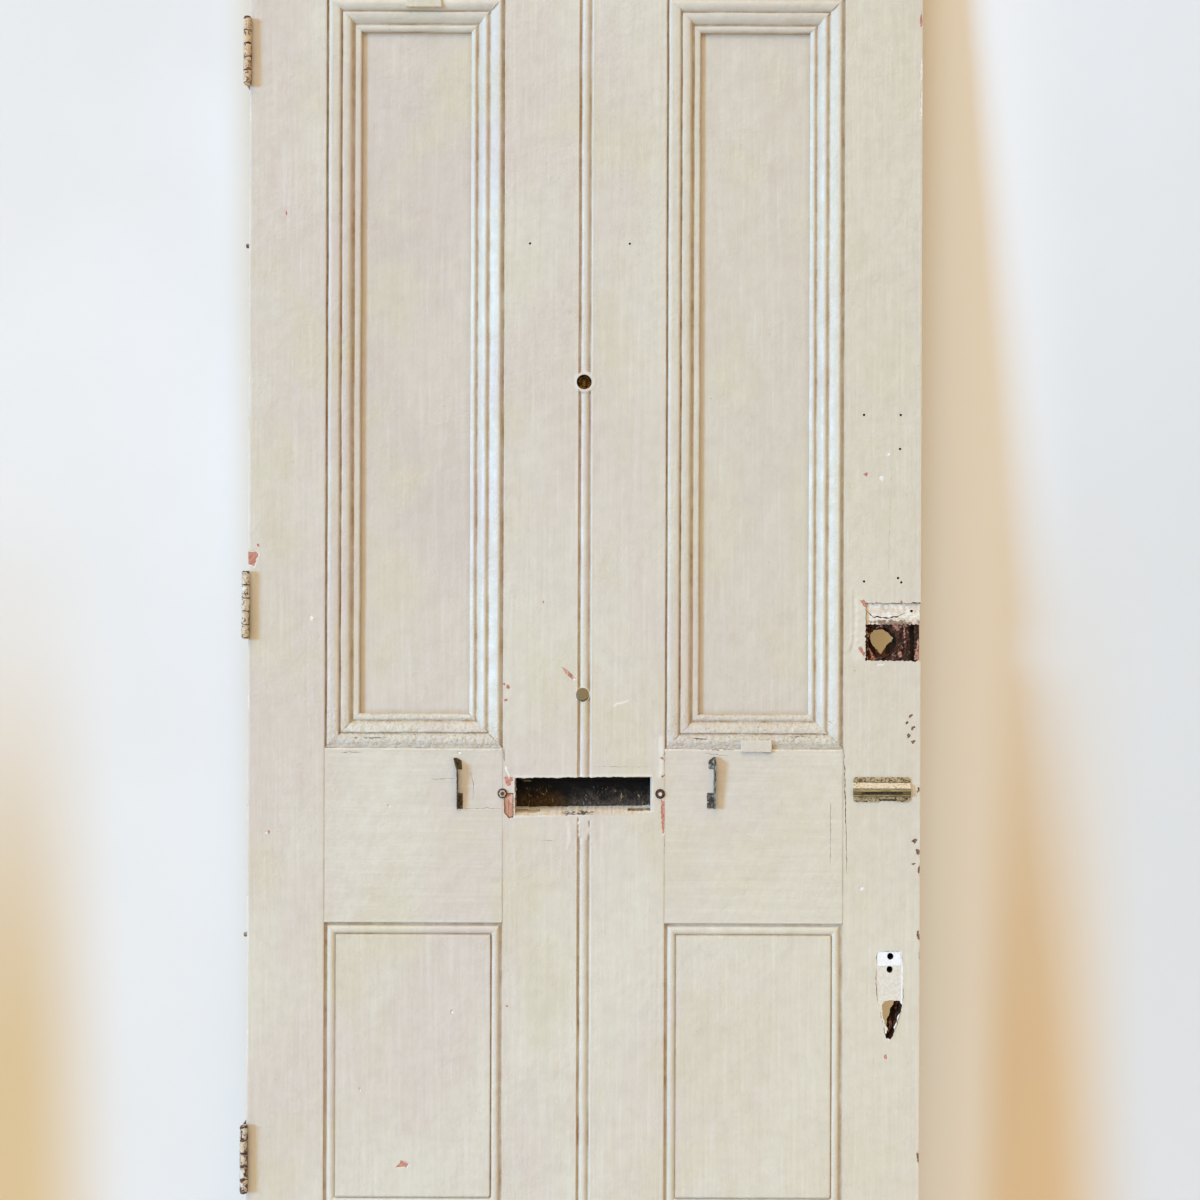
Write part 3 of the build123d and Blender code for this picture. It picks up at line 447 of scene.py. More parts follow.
def make_paint_group():
    """Old brushed oil paint: a cream coat that goes pinkish grey and yellow in broad patches, brush streaks,
    lumps, dark specks, dirt with painted shade where its grime attribute says, painted warmth towards the
    right, and paler paint with painted highlights where its pale attribute says."""
    tree, r, given, end = new_group(
        "aged_paint",
        [
            ("Cream", "colour", screen(218, 212, 197)), ("Pinkish", "colour", screen(213, 202, 192)),
            ("Yellowed", "colour", screen(212, 204, 180)), ("Dirt_and_shade", "colour", screen(162, 124, 76)),
            ("Brush", "vector", (260, 260, 9)),
        ],
        [("Color", "colour"), ("Roughness", "number"), ("Normal", "vector")],
    )
    p = r.place()
    broad = r.noise(r.stretched(p, (1, 1, 0.6)), 4.6, 3, 0.5)
    colour = r.mix(r.rise(broad, 0.42, 0.6, 0, 0.85), given["Cream"], given["Pinkish"])
    patches = r.noise(r.stretched(p, (1, 1, 0.7), (3, 1, 5)), 9, 4, 0.55)
    colour = r.mix(r.rise(patches, 0.47, 0.68, 0, 0.7), colour, given["Yellowed"])
    # Painted light: the coat turns warmer and yellower towards the right, standing in for the warmer light
    # on that side
    x_for_painted_warmth = r.add("ShaderNodeSeparateXYZ", {"Vector": p}).outputs["X"]
    colour = r.mix(r.rise(x_for_painted_warmth, -0.1, 0.44, 0, 0.6), colour, screen(214, 204, 182))
    mottle = r.noise(p, 48, 5, 0.6)
    colour = r.mix(r.rise(mottle, 0.35, 0.72, 0, 0.16), colour, screen(176, 160, 140))
    streaks = r.noise(r.stretched(p, given["Brush"]), 1, 4, 0.6)
    colour = r.mix(r.rise(streaks, 0.35, 0.75, 0, 0.16), colour, screen(186, 172, 150))
    colour = r.mix(r.rise(streaks, 0.3, 0.42, 0.1, 0), colour, screen(240, 236, 228))
    rubbed = r.noise(p, 260, 2, 0.5)
    where = r.rise(r.noise(p, 14, 2), 0.5, 0.62)
    specks = r.op("MULTIPLY", r.rise(rubbed, 0.73, 0.78), where)
    colour = r.mix(r.op("MULTIPLY", specks, 0.55), colour, given["Dirt_and_shade"])
    crumbly = r.add("ShaderNodeAttribute", attribute_name="crumbly").outputs["Fac"]
    pits = r.op("MULTIPLY", r.rise(r.noise(p, 240, 4, 0.6), 0.6, 0.68), crumbly)
    colour = r.mix(r.op("MULTIPLY", pits, 0.6), colour, screen(128, 104, 74))
    # Dirt with painted shade: the grime attribute darkens quirks, recesses and joints towards the dirt
    # colour
    grime_and_shade = r.add("ShaderNodeAttribute", attribute_name="grime_and_shade").outputs["Fac"]
    uneven = r.rise(r.noise(p, 70, 4, 0.6), 0.3, 0.7, 0.55, 1.15)
    colour = r.mix(r.op("MULTIPLY", grime_and_shade, uneven, clamp=True), colour, given["Dirt_and_shade"])
    # Paler paint on filler and scars, and a painted highlight along raised ridges, lips and arrises, from
    # the pale attribute
    paler_paint_and_highlight = r.add("ShaderNodeAttribute", attribute_name="pale").outputs["Fac"]
    colour = r.mix(paler_paint_and_highlight, colour, screen(238, 232, 222))
    lumps = r.op("MULTIPLY", r.noise(p, 42, 3, 0.5), 1.2)
    orange_peel = r.op("MULTIPLY", r.noise(p, 210, 3, 0.6), 0.35)
    brushed = r.op("MULTIPLY", streaks, 0.4)
    worst = r.op("ADD", r.rise(r.noise(p, 11, 3), 0.42, 0.62, 0.2, 1.3), r.op("MULTIPLY", crumbly, 5.0))
    crust = r.op("MULTIPLY", r.noise(p, 95, 5, 0.7), worst)
    height = r.op("ADD", r.op("ADD", r.op("ADD", lumps, orange_peel), brushed), crust)
    r.put(end.inputs["Color"], colour)
    r.put(end.inputs["Roughness"], r.rise(mottle, 0.3, 0.7, 0.36, 0.5))
    r.put(end.inputs["Normal"], r.bump(height, 0.0009, 0.85))
    return tree


paint_group = make_paint_group()


def make_paint(name, brush, **colours):
    """The aged paint, brushed along the length of the timber."""
    material, r, shader = new_material(name)
    out = use_group(r, paint_group, Brush=brush, **colours)
    for key in ("Color", "Roughness", "Normal"):
        r.put(shader.inputs["Base Color" if key == "Color" else key], out[key])
    return material


upright_paint = make_paint("aged_paint_upright", (240, 240, 8))
level_paint = make_paint("aged_paint_level", (8, 240, 240))


def make_panel_paint(name):
    """The paint of a recessed panel, greyer, with a tan painted shadow as a margin beside its
    mouldings."""
    material, r, shader = new_material(name)
    out = use_group(r, paint_group, Cream=screen(213, 204, 192), Pinkish=screen(208, 197, 188),
                    Brush=(230, 230, 10))
    p = r.add("ShaderNodeSeparateXYZ", {"Vector": r.place()}).outputs
    middle_x = (opening_inner + opening_outer) / 2
    half_x = (opening_outer - opening_inner) / 2 - moulding_width
    middle_z = (upper_low + upper_high) / 2
    half_z = (upper_high - upper_low) / 2 - moulding_width
    from_middle = r.op("ABSOLUTE", r.op("SUBTRACT", r.op("ABSOLUTE", p["X"]), middle_x))
    far_x = r.op("SUBTRACT", from_middle, half_x)
    far_z = r.op("SUBTRACT", r.op("ABSOLUTE", r.op("SUBTRACT", p["Z"], middle_z)), half_z)
    inside = r.op("MAXIMUM", far_x, far_z)
    # Painted shadow: a tan band within 9 mm of the mouldings, where they shade the panel
    edge = r.rise(inside, -0.009, -0.001, 0, 0.34)
    colour = r.mix(edge, out["Color"], screen(190, 165, 130))
    r.put(shader.inputs["Base Color"], colour)
    r.put(shader.inputs["Roughness"], out["Roughness"])
    r.put(shader.inputs["Normal"], out["Normal"])
    return material


panel_paint_shaded_margin = make_panel_paint("aged_paint_panel_margin_shadow")


def make_bare_wood(name, pale, dark, pink, grain):
    """Old broken or rubbed timber: long grain, darker pores, and remains of pink primer."""
    material, r, shader = new_material(name)
    p = r.place()
    along = r.noise(r.stretched(p, grain), 1, 5, 0.65, 0.4)
    colour = r.mix(r.rise(along, 0.32, 0.66), dark, pale)
    primer = r.noise(r.stretched(p, (1, 1, 0.4)), 130, 4, 0.6)
    colour = r.mix(r.rise(primer, 0.54, 0.61, 0, 0.85), colour, pink)
    r.put(shader.inputs["Base Color"], colour)
    r.put(shader.inputs["Roughness"], r.rise(along, 0.3, 0.7, 0.75, 0.9))
    shader.inputs["Specular IOR Level"].default_value = 0.15
    r.put(shader.inputs["Normal"], r.bump(r.op("ADD", along, primer), 0.0012, 0.9))
    return material


broken_wood = make_bare_wood(
    "broken_wood", screen(98, 66, 52), screen(30, 18, 15), screen(222, 164, 142), (420, 420, 45)
)
plain_wood = make_bare_wood(
    "bare_timber", screen(176, 146, 108), screen(122, 92, 62), screen(186, 160, 128), (420, 420, 30)
)


def make_flake(name, colour, second, dark):
    """A lower coat of paint laid bare by a chip, with a little wood or dirt showing in it."""
    material, r, shader = new_material(name)
    p = r.place()
    cloud = r.noise(p, 240, 4, 0.6)
    tone = r.mix(r.rise(cloud, 0.4, 0.6), colour, second)
    tone = r.mix(r.rise(r.noise(p, 420, 3, 0.6), 0.6, 0.7, 0, 0.8), tone, dark)
    r.put(shader.inputs["Base Color"], tone)
    r.put(shader.inputs["Roughness"], r.rise(cloud, 0.3, 0.7, 0.6, 0.8))
    shader.inputs["Specular IOR Level"].default_value = 0.2
    r.put(shader.inputs["Normal"], r.bump(cloud, 0.0004, 0.8))
    return material


pink_primer = make_flake("pink_primer", screen(205, 150, 132), screen(186, 122, 104), screen(140, 84, 66))
white_undercoat = make_flake("white_undercoat", screen(240, 236, 230), screen(228, 220, 208),
                             screen(200, 180, 150))
pale_pink = make_flake("pale_pink", screen(232, 222, 212), screen(218, 176, 160), screen(176, 122, 104))
brown_chip = make_flake("brown_chip", screen(142, 112, 84), screen(108, 82, 62), screen(70, 50, 40))
dark_dirt = make_flake("dark_dirt", screen(46, 38, 30), screen(62, 50, 38), screen(26, 20, 16))
salmon_wood = make_bare_wood(
    "salmon_wood", screen(212, 164, 140), screen(168, 116, 94), screen(224, 178, 160), (300, 300, 20)
)
# Painted light: the knocker hole's floor is paler than its brown lumps, to offset the shade deep in the hole
hole_floor_brightened = make_flake("hole_floor_brightened", screen(206, 162, 84), screen(140, 106, 56), screen(240, 212, 150))
hole_side = make_flake("hole_side", screen(196, 186, 172), screen(150, 136, 112), screen(84, 70, 52))
imprint_paint = make_flake("imprint_paint", screen(224, 216, 202), screen(216, 206, 190),
                           screen(204, 190, 170))
imprint_white = make_flake("imprint_white", screen(243, 242, 240), screen(236, 233, 229),
                           screen(218, 210, 200))
# Painted shade: near-black wood for the walls of the bores and keyhole, standing in for the shade deep
# inside them
shaded_bore_wood = make_bare_wood(
    "shaded_bore_wood", screen(70, 46, 30), screen(22, 13, 9), screen(120, 78, 56), (500, 500, 60)
)


def make_placed_paint(name, base, second, stain, middle, reach, strength):
    """Paint in a hollow, stained dark round one place. middle and reach give the stained place."""
    material, r, shader = new_material(name)
    p = r.place()
    cloud = r.noise(p, 120, 4, 0.6)
    tone = r.mix(r.rise(cloud, 0.38, 0.62), base, second)
    moved = r.stretched(p, tuple(1 / v for v in reach), tuple(-m / v for m, v in zip(middle, reach)))
    far = r.add("ShaderNodeVectorMath", {0: moved}, operation="LENGTH").outputs["Value"]
    spread = r.op("ADD", far, r.op("MULTIPLY", r.op("SUBTRACT", r.noise(p, 160, 4, 0.6), 0.5), 3.2))
    tone = r.mix(r.rise(spread, 1.0, 0.4, 0, strength), tone, stain)
    r.put(shader.inputs["Base Color"], tone)
    r.put(shader.inputs["Roughness"], r.rise(cloud, 0.3, 0.7, 0.5, 0.7))
    r.put(shader.inputs["Normal"], r.bump(cloud, 0.0008, 0.9))
    return material


# Painted light: the sill's paint is paler than the leaf's, standing in for the light it catches inside the
# slot; the dark stain is dirt
sill_paint_brightened = make_placed_paint(
    "sill_paint_brightened", screen(248, 242, 232), screen(236, 224, 208), screen(52, 44, 38),
    (-0.004, -0.012, 0.757), (0.026, 0.02, 0.006), 0.9,
)
latch_paint = make_placed_paint(
    "latch_paint", screen(238, 229, 214), screen(220, 204, 184), screen(132, 102, 74),
    (0.425, -0.019, 1.02), (0.04, 0.02, 0.0048), 0.9,
)


def make_hinge_paint(name, bottom, tone, lost, rusty, broken):
    """Painted hinge knuckles: brown cracks where one knuckle meets the next, and flakes down to dark iron
    and orange rust. bottom is the height of the hinge's lower end, lost how much paint is gone, rusty how
    orange, broken how far it is cracked."""
    material, r, shader = new_material(name)
    p = r.place()
    out = use_group(r, paint_group, Cream=tone, Pinkish=tone, Yellowed=screen(206, 186, 150),
                    Brush=(90, 90, 90))
    height = r.add("ShaderNodeSeparateXYZ", {"Vector": p}).outputs["Z"]
    knuckle, right_edge = 0.0178, 0.4528
    wobble = r.op("MULTIPLY", r.op("SUBTRACT", r.noise(p, 260, 3), 0.5), 0.005)
    wobble = r.op("ADD", wobble, r.op("MULTIPLY", r.op("SUBTRACT", r.noise(p, 85, 2), 0.5), 0.009))
    turns = r.op("DIVIDE", r.op("SUBTRACT", r.op("ADD", height, wobble), bottom), knuckle)
    near = r.op("ABSOLUTE", r.op("SUBTRACT", r.op("FRACT", r.op("ADD", turns, 0.5)), 0.5))
    thick = r.rise(r.noise(p, 75, 3), 0.4, 0.6, 0.02, 0.1)
    joint = r.rise(r.op("SUBTRACT", near, thick), 0.015, -0.015)
    veins = r.rise(r.op("ABSOLUTE", r.op("SUBTRACT", r.noise(p, 125, 3, 0.6), 0.5)), 0.02, 0.008)
    veins = r.op("MULTIPLY", veins, r.rise(r.noise(p, 55, 2), 0.5 - broken, 0.56 - broken))
    across = r.add("ShaderNodeSeparateXYZ", {"Vector": p}).outputs["X"]
    edge = r.op("ABSOLUTE", r.op("ADD", r.op("ADD", across, right_edge), r.op("MULTIPLY", wobble, 0.4)))
    edge_line = r.op("MULTIPLY", r.rise(edge, 0.0011, 0.0004), r.rise(r.noise(p, 48, 2), 0.42, 0.52))
    crack = r.op("MAXIMUM", r.op("MAXIMUM", joint, veins), edge_line)
    rust = r.noise(p, 330, 5, 0.65)
    iron = r.mix(r.rise(rust, 0.35, 0.6), screen(58, 42, 38), screen(108, 80, 66))
    iron = r.mix(r.rise(r.noise(p, 150, 3), 0.62 - rusty, 0.7 - rusty), iron, screen(178, 110, 66))
    flakes = r.noise(r.stretched(p, (1, 1, 0.8)), 170, 5, 0.62)
    bare = r.op("MAXIMUM", r.rise(flakes, 0.64 - lost, 0.67 - lost), crack)
    stained = r.mix(r.rise(r.noise(p, 90, 4), 0.4, 0.62, 0, 0.55), out["Color"], screen(196, 164, 120))
    r.put(shader.inputs["Base Color"], r.mix(bare, stained, iron))
    r.put(shader.inputs["Roughness"], r.rise(bare, 0, 1, 0.45, 0.8))
    lumpy = r.op("ADD", r.noise(p, 190, 4, 0.6), r.op("MULTIPLY", rust, 0.4))
    r.put(shader.inputs["Normal"], r.bump(r.op("SUBTRACT", lumpy, bare), 0.0006, 1.0))
    return material


def make_metal(name, bright, dull, dirty, polish, scratch, metallic=0.9, grubby=0.0):
    """Worn metal: bright rubbed places, a dull skin, dirt in patches, and fine scratches one way."""
    material, r, shader = new_material(name)
    p = r.place()
    cloud = r.noise(p, 90, 5, 0.6)
    colour = r.mix(r.rise(cloud, 0.38, 0.62), bright, dull)
    soil = r.noise(p, 260, 5, 0.65)
    dirt = r.rise(soil, 0.54 - grubby, 0.66 - grubby)
    colour = r.mix(dirt, colour, dirty)
    lines = r.noise(r.stretched(p, scratch), 1, 3, 0.6)
    colour = r.mix(r.rise(lines, 0.6, 0.72, 0, 0.35), colour, bright)
    r.put(shader.inputs["Base Color"], colour)
    r.put(shader.inputs["Metallic"], r.rise(dirt, 0, 1, metallic, metallic * 0.4))
    r.put(shader.inputs["Roughness"], r.rise(cloud, 0.3, 0.7, polish, polish + 0.2))
    r.put(shader.inputs["Normal"], r.bump(r.op("ADD", soil, lines), 0.00025, 0.7))
    return material


def make_flap_metal(name):
    """The back of the flap: a painted shadow makes it nearly black at the top; brown to the left below, grey
    to the right, with short scratches in its lower half coloured as painted glints, bluish as a painted
    sheen in the middle."""
    material, r, shader = new_material(name)
    p = r.place()
    split = r.add("ShaderNodeSeparateXYZ", {"Vector": p}).outputs
    cloud = r.noise(p, 60, 4, 0.6)
    grain = r.noise(r.stretched(p, (1, 1, 0.7)), 420, 4, 0.65)
    colour = r.mix(r.rise(split["X"], -0.045, 0.005), screen(74, 52, 24), screen(84, 72, 64))
    colour = r.mix(r.rise(grain, 0.4, 0.62, 0, 0.7), colour, screen(30, 22, 14))
    # Painted shadow: the top of the flap goes nearly black
    rise = r.op("ADD", split["Z"], r.op("MULTIPLY", r.op("SUBTRACT", cloud, 0.5), 0.05))
    colour = r.mix(r.rise(rise, 0.768, 0.792), colour, screen(10, 7, 5))
    # Painted glints: pale scratches kept to the lit lower half, bluish grey as a painted sheen in the middle
    lines = r.noise(r.stretched(p, (1.6, 1, 0.6)), 210, 3, 0.6, 1.2)
    bright = r.op("MULTIPLY", r.rise(lines, 0.6, 0.66), r.rise(r.noise(p, 34, 2), 0.42, 0.56))
    bright = r.op("MULTIPLY", bright, r.rise(split["Z"], 0.797, 0.78))
    middle = r.rise(r.op("ABSOLUTE", split["X"]), 0.03, 0.008)
    glint_painted_colour = r.mix(middle, screen(176, 150, 104), screen(150, 158, 160))
    r.put(shader.inputs["Base Color"], r.mix(r.op("MULTIPLY", bright, 0.85), colour, glint_painted_colour))
    shader.inputs["Specular IOR Level"].default_value = 0.12
    r.put(shader.inputs["Roughness"], r.rise(cloud, 0.3, 0.7, 0.4, 0.6))
    r.put(shader.inputs["Normal"], r.bump(grain, 0.0003, 0.8))
    return material


def make_two_sided(name, left_tone, right_tone, left_dark, right_dark):
    """A fixing that is rusty or painted on the left of the leaf and cleaner on the right."""
    material, r, shader = new_material(name)
    p = r.place()
    cloud = r.noise(p, 500, 4, 0.6)
    share = r.rise(r.add("ShaderNodeSeparateXYZ", {"Vector": p}).outputs["X"], -0.01, 0.01)
    tone = r.mix(share, left_tone, right_tone)
    dark = r.mix(share, left_dark, right_dark)
    r.put(shader.inputs["Base Color"], r.mix(r.rise(cloud, 0.42, 0.6), tone, dark))
    r.put(shader.inputs["Metallic"], r.rise(cloud, 0.4, 0.6, 0.5, 0.2))
    r.put(shader.inputs["Roughness"], r.rise(cloud, 0.3, 0.7, 0.4, 0.7))
    r.put(shader.inputs["Normal"], r.bump(cloud, 0.0003, 0.8))
    return material


def make_chain_brass(low):
    """The chain slide's brass: dark mottled flanges, a painted highlight on the ridge, and an olive face
    with dark lines painted as shade in its folds and groove. low is the height of its lower edge."""
    material, r, shader = new_material("worn_brass")
    p = r.place()
    split = r.add("ShaderNodeSeparateXYZ", {"Vector": p}).outputs
    wander = r.op("MULTIPLY", r.op("SUBTRACT", r.noise(r.stretched(p, (0.3, 1, 1)), 120, 3), 0.5), 0.0016)
    rise = r.op("MULTIPLY", r.op("SUBTRACT", r.op("ADD", split["Z"], wander), low), 1000)
    soil = r.noise(r.stretched(p, (0.7, 1, 1)), 380, 5, 0.7)
    spots_of = r.rise(soil, 0.46, 0.58)
    flange = r.mix(spots_of, screen(190, 168, 128), screen(78, 58, 38))
    face = r.mix(r.rise(r.noise(r.stretched(p, (0.25, 1, 1.6)), 300, 4, 0.6), 0.4, 0.62),
                 screen(172, 152, 106), screen(130, 110, 68))
    ridge_painted_highlight = r.mix(r.rise(soil, 0.5, 0.64), screen(216, 202, 176), screen(160, 128, 86))
    # Painted shade: the groove of the slot is darkened
    groove = r.op("MULTIPLY", r.rise(rise, 9.6, 10.4), r.rise(rise, 15.2, 14.6))
    face = r.mix(r.op("MULTIPLY", groove, 0.8), face, screen(84, 66, 38))
    on_face = r.rise(rise, 7.2, 7.9)
    on_ridge = r.rise(rise, 18.6, 19.6)
    above = r.rise(rise, 26.2, 27.0)
    colour = r.mix(on_face, flange, face)
    # Painted shade: dark lines along the folds of the plate
    for height in (8.4, 11.0, 14.4, 18.6):
        line = r.rise(r.op("ABSOLUTE", r.op("SUBTRACT", rise, height)), 0.75, 0.25, 0, 0.75)
        colour = r.mix(line, colour, screen(62, 50, 34))
    # Painted highlight: the ridge band is made pale where it catches the light
    colour = r.mix(on_ridge, colour, ridge_painted_highlight)
    colour = r.mix(above, colour, flange)
    # Painted shade: a dark line along the top fold
    top_fold_painted_shade = r.rise(r.op("ABSOLUTE", r.op("SUBTRACT", rise, 27.2)), 1.0, 0.3, 0, 0.8)
    colour = r.mix(top_fold_painted_shade, colour, screen(70, 54, 36))
    r.put(shader.inputs["Base Color"], colour)
    shader.inputs["Specular IOR Level"].default_value = 0.25
    r.put(shader.inputs["Metallic"], r.rise(spots_of, 0, 1, 0.15, 0.05))
    r.put(shader.inputs["Roughness"], r.rise(soil, 0.3, 0.7, 0.45, 0.65))
    r.put(shader.inputs["Normal"], r.bump(soil, 0.0004, 0.8))
    return material


hinge_spans = {p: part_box(f"hinge_door_leaf_{p}")[0].z for p in ("bottom", "middle", "top")}
hinge_looks = {
    "bottom": ("hinge_paint_flaked", screen(226, 224, 218), 0.1, 0.03, 0.12),
    "middle": ("hinge_paint_cracked", screen(232, 226, 212), 0.02, 0.0, 0.12),
    "top": ("hinge_paint_stained", screen(222, 196, 162), 0.04, 0.06, 0.06),
}
hinge_finish = {p: make_hinge_paint(look[0], hinge_spans[p], *look[1:]) for p, look in hinge_looks.items()}
old_iron = make_metal("old_iron", screen(104, 86, 52), screen(64, 48, 28), screen(42, 30, 18),
                      0.55, (60, 60, 900), 0.25, 0.06)
old_steel = make_metal("old_steel", screen(160, 156, 146), screen(104, 100, 90), screen(52, 44, 36),
                       0.42, (60, 60, 900), 0.4, 0.1)
dark_brass = make_flap_metal("dark_brass")
rusty_steel = make_metal("rusty_steel", screen(150, 140, 126), screen(104, 84, 68), screen(88, 62, 46),
                         0.5, (60, 60, 900), 0.5)
worn_brass = make_chain_brass(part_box("chain_slide")[0].z)
screw_brass = make_metal("screw_brass", screen(186, 164, 122), screen(120, 98, 66), screen(70, 52, 36),
                         0.4, (300, 300, 300), 0.7)
washer_finish = make_two_sided("washer_finish", screen(92, 66, 52), screen(84, 58, 48), screen(50, 36, 30),
                               screen(56, 38, 32))
nut_finish = make_two_sided("nut_finish", screen(206, 192, 174), screen(110, 80, 66), screen(170, 146, 122),
                            screen(70, 48, 40))
bolt_finish = make_two_sided("bolt_finish", screen(112, 74, 54), screen(232, 222, 208), screen(72, 48, 38),
                             screen(196, 182, 164))


def dress(material, *names):
    """Gives CAD nodes one material."""
    for name in names:
        for slot in nodes[name].material_slots:
            slot.material = material


dress(upright_paint, "lower_panel_left", "lower_panel_right", "moulding_patch_left", "moulding_patch_right")
dress(panel_paint_shaded_margin, "upper_panel_left", "upper_panel_right")
for level_name in levels:
    for side_name in sides:
        dress(upright_paint, f"{level_name}_{side_name}_street_moulding")
for rail in ("bottom", "lock", "top"):
    dress(level_paint, f"{rail}_rail_left", f"{rail}_rail_right")
dress(plain_wood, "tenon_wedges", "meeting_stile_keys")
for place_name in ("bottom", "middle", "top"):
    for kind in ("frame_leaf", "door_leaf", "pin"):
        dress(hinge_finish[place_name], f"hinge_{kind}_{place_name}")
dress(old_iron, "hinge_screws", "flap_spring", "bracket_screws")
dress(rusty_steel, "dog_bolts")
dress(washer_finish, "letter_plate_washers")
dress(nut_finish, "letter_plate_nuts")
dress(bolt_finish, "letter_plate_bolts")
dress(dark_brass, "letter_plate", "letter_flap", "flap_pin")
dress(screw_brass, "chain_slide_screws")


# Stiles

def rounded_run(corners, radii, steps):
    """A line round the far side of a section: straight runs divided evenly, joined by quarter rounds."""
    out = []
    corners = np.asarray(corners, float)
    for k in range(1, len(corners) - 1):
        before, here, after = corners[k - 1:k + 2]
        r = radii[k - 1]
        into = here + (before - here) / np.linalg.norm(before - here) * r
        away = here + (after - here) / np.linalg.norm(after - here) * r
        t = np.linspace(0, 1, 4)[:, None]
        out.append((1 - t) ** 2 * into + 2 * t * (1 - t) * here + t ** 2 * away)
    line = [corners[0]]
    for k, curve in enumerate(out):
        run = even_line([line[-1], curve[0]], steps[k])
        line += list(run[1:]) + list(curve[1:])
    line += list(even_line([line[-1], corners[-1]], steps[-1])[1:])
    return np.array(line)


def stile(name, face, left, right, relief, spans):
    """An upright: its face line (x, depth) is carried up the leaf, raised by relief(x, z), and closed by
    straight sides and a flat back with eased arrises."""
    face = np.asarray(face) * MM
    near = np.stack([face[:, 0], front + face[:, 1]], axis=1)
    far = rounded_run(
        [near[-1], (right, back), (left, back), near[0]], [0.8 * MM, 0.8 * MM], [6 * MM, 12 * MM, 6 * MM]
    )[1:-1]
    heights = stations(0, leaf_top, 7 * MM, 1.7 * MM, [(a * MM, b * MM) for a, b in spans])
    m, n = len(heights), len(near) + len(far)
    rings = np.empty((m, n, 3))
    section = np.vstack([near, far])
    rings[..., 0] = section[:, 0]
    rings[..., 1] = section[:, 1]
    rings[..., 2] = heights[:, None]
    moved = hand_made(rings)
    rings[..., :2] = moved[..., :2]
    x = rings[:, :len(near), 0]
    z = rings[:, :len(near), 2]
    raised, grime_and_shade, pale = relief(x, z, face[:, 1])
    rings[:, :len(near), 1] -= raised
    rings[..., 0] = np.clip(rings[..., 0], -half_width, half_width)
    spread = {}
    for key, numbers in (("grime_and_shade", grime_and_shade), ("pale", pale)):
        whole = np.zeros((m, n))
        whole[:, :len(near)] = numbers
        spread[key] = whole
    piece = loft(name + "_timber", rings, [upright_paint], values=spread)
    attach(piece, "door")
    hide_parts(name)
    return piece


def flat_face(left, right, ease_left=0.5, ease_right=0.5):
    """A plain face line between two edges in millimetres, with its two arrises rounded by paint."""
    step = 2.0
    line = [(left, ease_left * 1.4), (left + ease_left * 0.35, ease_left * 0.35),
            (left + ease_left * 1.4, 0)]
    inner = even_line([(left + ease_left * 1.4, 0), (right - ease_right * 1.4, 0)], step)
    line += [tuple(p) for p in inner[1:]]
    line += [(right - ease_right * 0.35, ease_right * 0.35), (right, ease_right * 1.4)]
    return np.array(line)


def to_line(x, z, points):
    """Distance of every (x, z) from a polyline of places."""
    best = np.full(x.shape, 9.0)
    for (ax, az), (bx, bz) in zip(points[:-1], points[1:]):
        dx, dz = bx - ax, bz - az
        t = np.clip(((x - ax) * dx + (z - az) * dz) / (dx * dx + dz * dz), 0, 1)
        best = np.minimum(best, np.hypot(x - ax - t * dx, z - az - t * dz))
    return best


def ridge(x, z, points, width, height):
    """A paint ridge along a line: a Gaussian of the distance from it, in millimetres."""
    return height * MM * np.exp(-(to_line(x, z, points) / (width * MM)) ** 2)


def ring(x, z, centre, radius, width, height):
    """A raised ring of paint round a hole, a little uneven."""
    angle = np.arctan2(z - centre[1], x - centre[0])
    far = np.hypot(x - centre[0], z - centre[1]) - radius * MM * (1 + 0.05 * np.sin(3 * angle + 1))
    return height * MM * (0.8 + 0.3 * np.sin(2 * angle)) * np.exp(-(far / (width * MM)) ** 2)


def round_area(x, z, centre, radius, blur):
    """1 inside a circle and 0 outside it, with a soft edge."""
    far = np.hypot(x - centre[0], z - centre[1]) - radius * MM
    return 1 / (1 + np.exp(np.clip(far / (blur * MM), -30, 30)))


def patch(x, z, centre, size, height, seed, edge=1.0):
    """A lump or filled patch: full height inside an uneven oval, falling off at its edge."""
    places = np.stack([x, z, np.zeros_like(x)], axis=-1)
    uneven = 1 + 0.18 * waves(places, 0.6 * MM * max(size), seed)
    far = np.hypot((x - centre[0]) / (size[0] * MM), (z - centre[1]) / (size[1] * MM)) - uneven
    blur = edge / min(size)
    return height * MM / (1 + np.exp(np.clip(far / blur * 3, -30, 30)))


def level_ground(depth, masks):
    """Fills the quirks and the bead up to the face where the masks say."""
    fill = np.clip(sum(masks), 0, 1)
    return fill * depth, fill


def arris(x, z, seed):
    """Paint gathered along the edges of the openings, as a low uneven ridge just inside each upright's
    edge."""
    beside = np.minimum(np.abs(np.abs(x) - (opening_outer + 0.9 * MM)),
                        np.abs(np.abs(x) - (opening_inner - 0.9 * MM)))
    inside = sum(((z > low) & (z < high)) * 1.0 for low, high in levels.values())
    along = 0.6 + 0.4 * waves(np.stack([0 * x, 0 * x, z], axis=-1), 0.03, seed)
    return inside * along * np.exp(-(beside / (0.8 * MM)) ** 2)


def hinge_relief(x, z, depth):
    """Paint drawn over the hinge edge, thicker along the arris."""
    edge = np.exp(-((x + half_width) / (3 * MM)) ** 2)
    # Dirt with painted shade in the quirk along the moulding's edge
    grime_and_shade = 0.35 * np.exp(-((x + opening_outer) / (1.2 * MM)) ** 2)
    lip = arris(x, z, 25)
    return edge * 0.25 * MM + lip * 0.3 * MM, grime_and_shade, np.clip(edge * 0.25 + lip * 0.2, 0, 1)


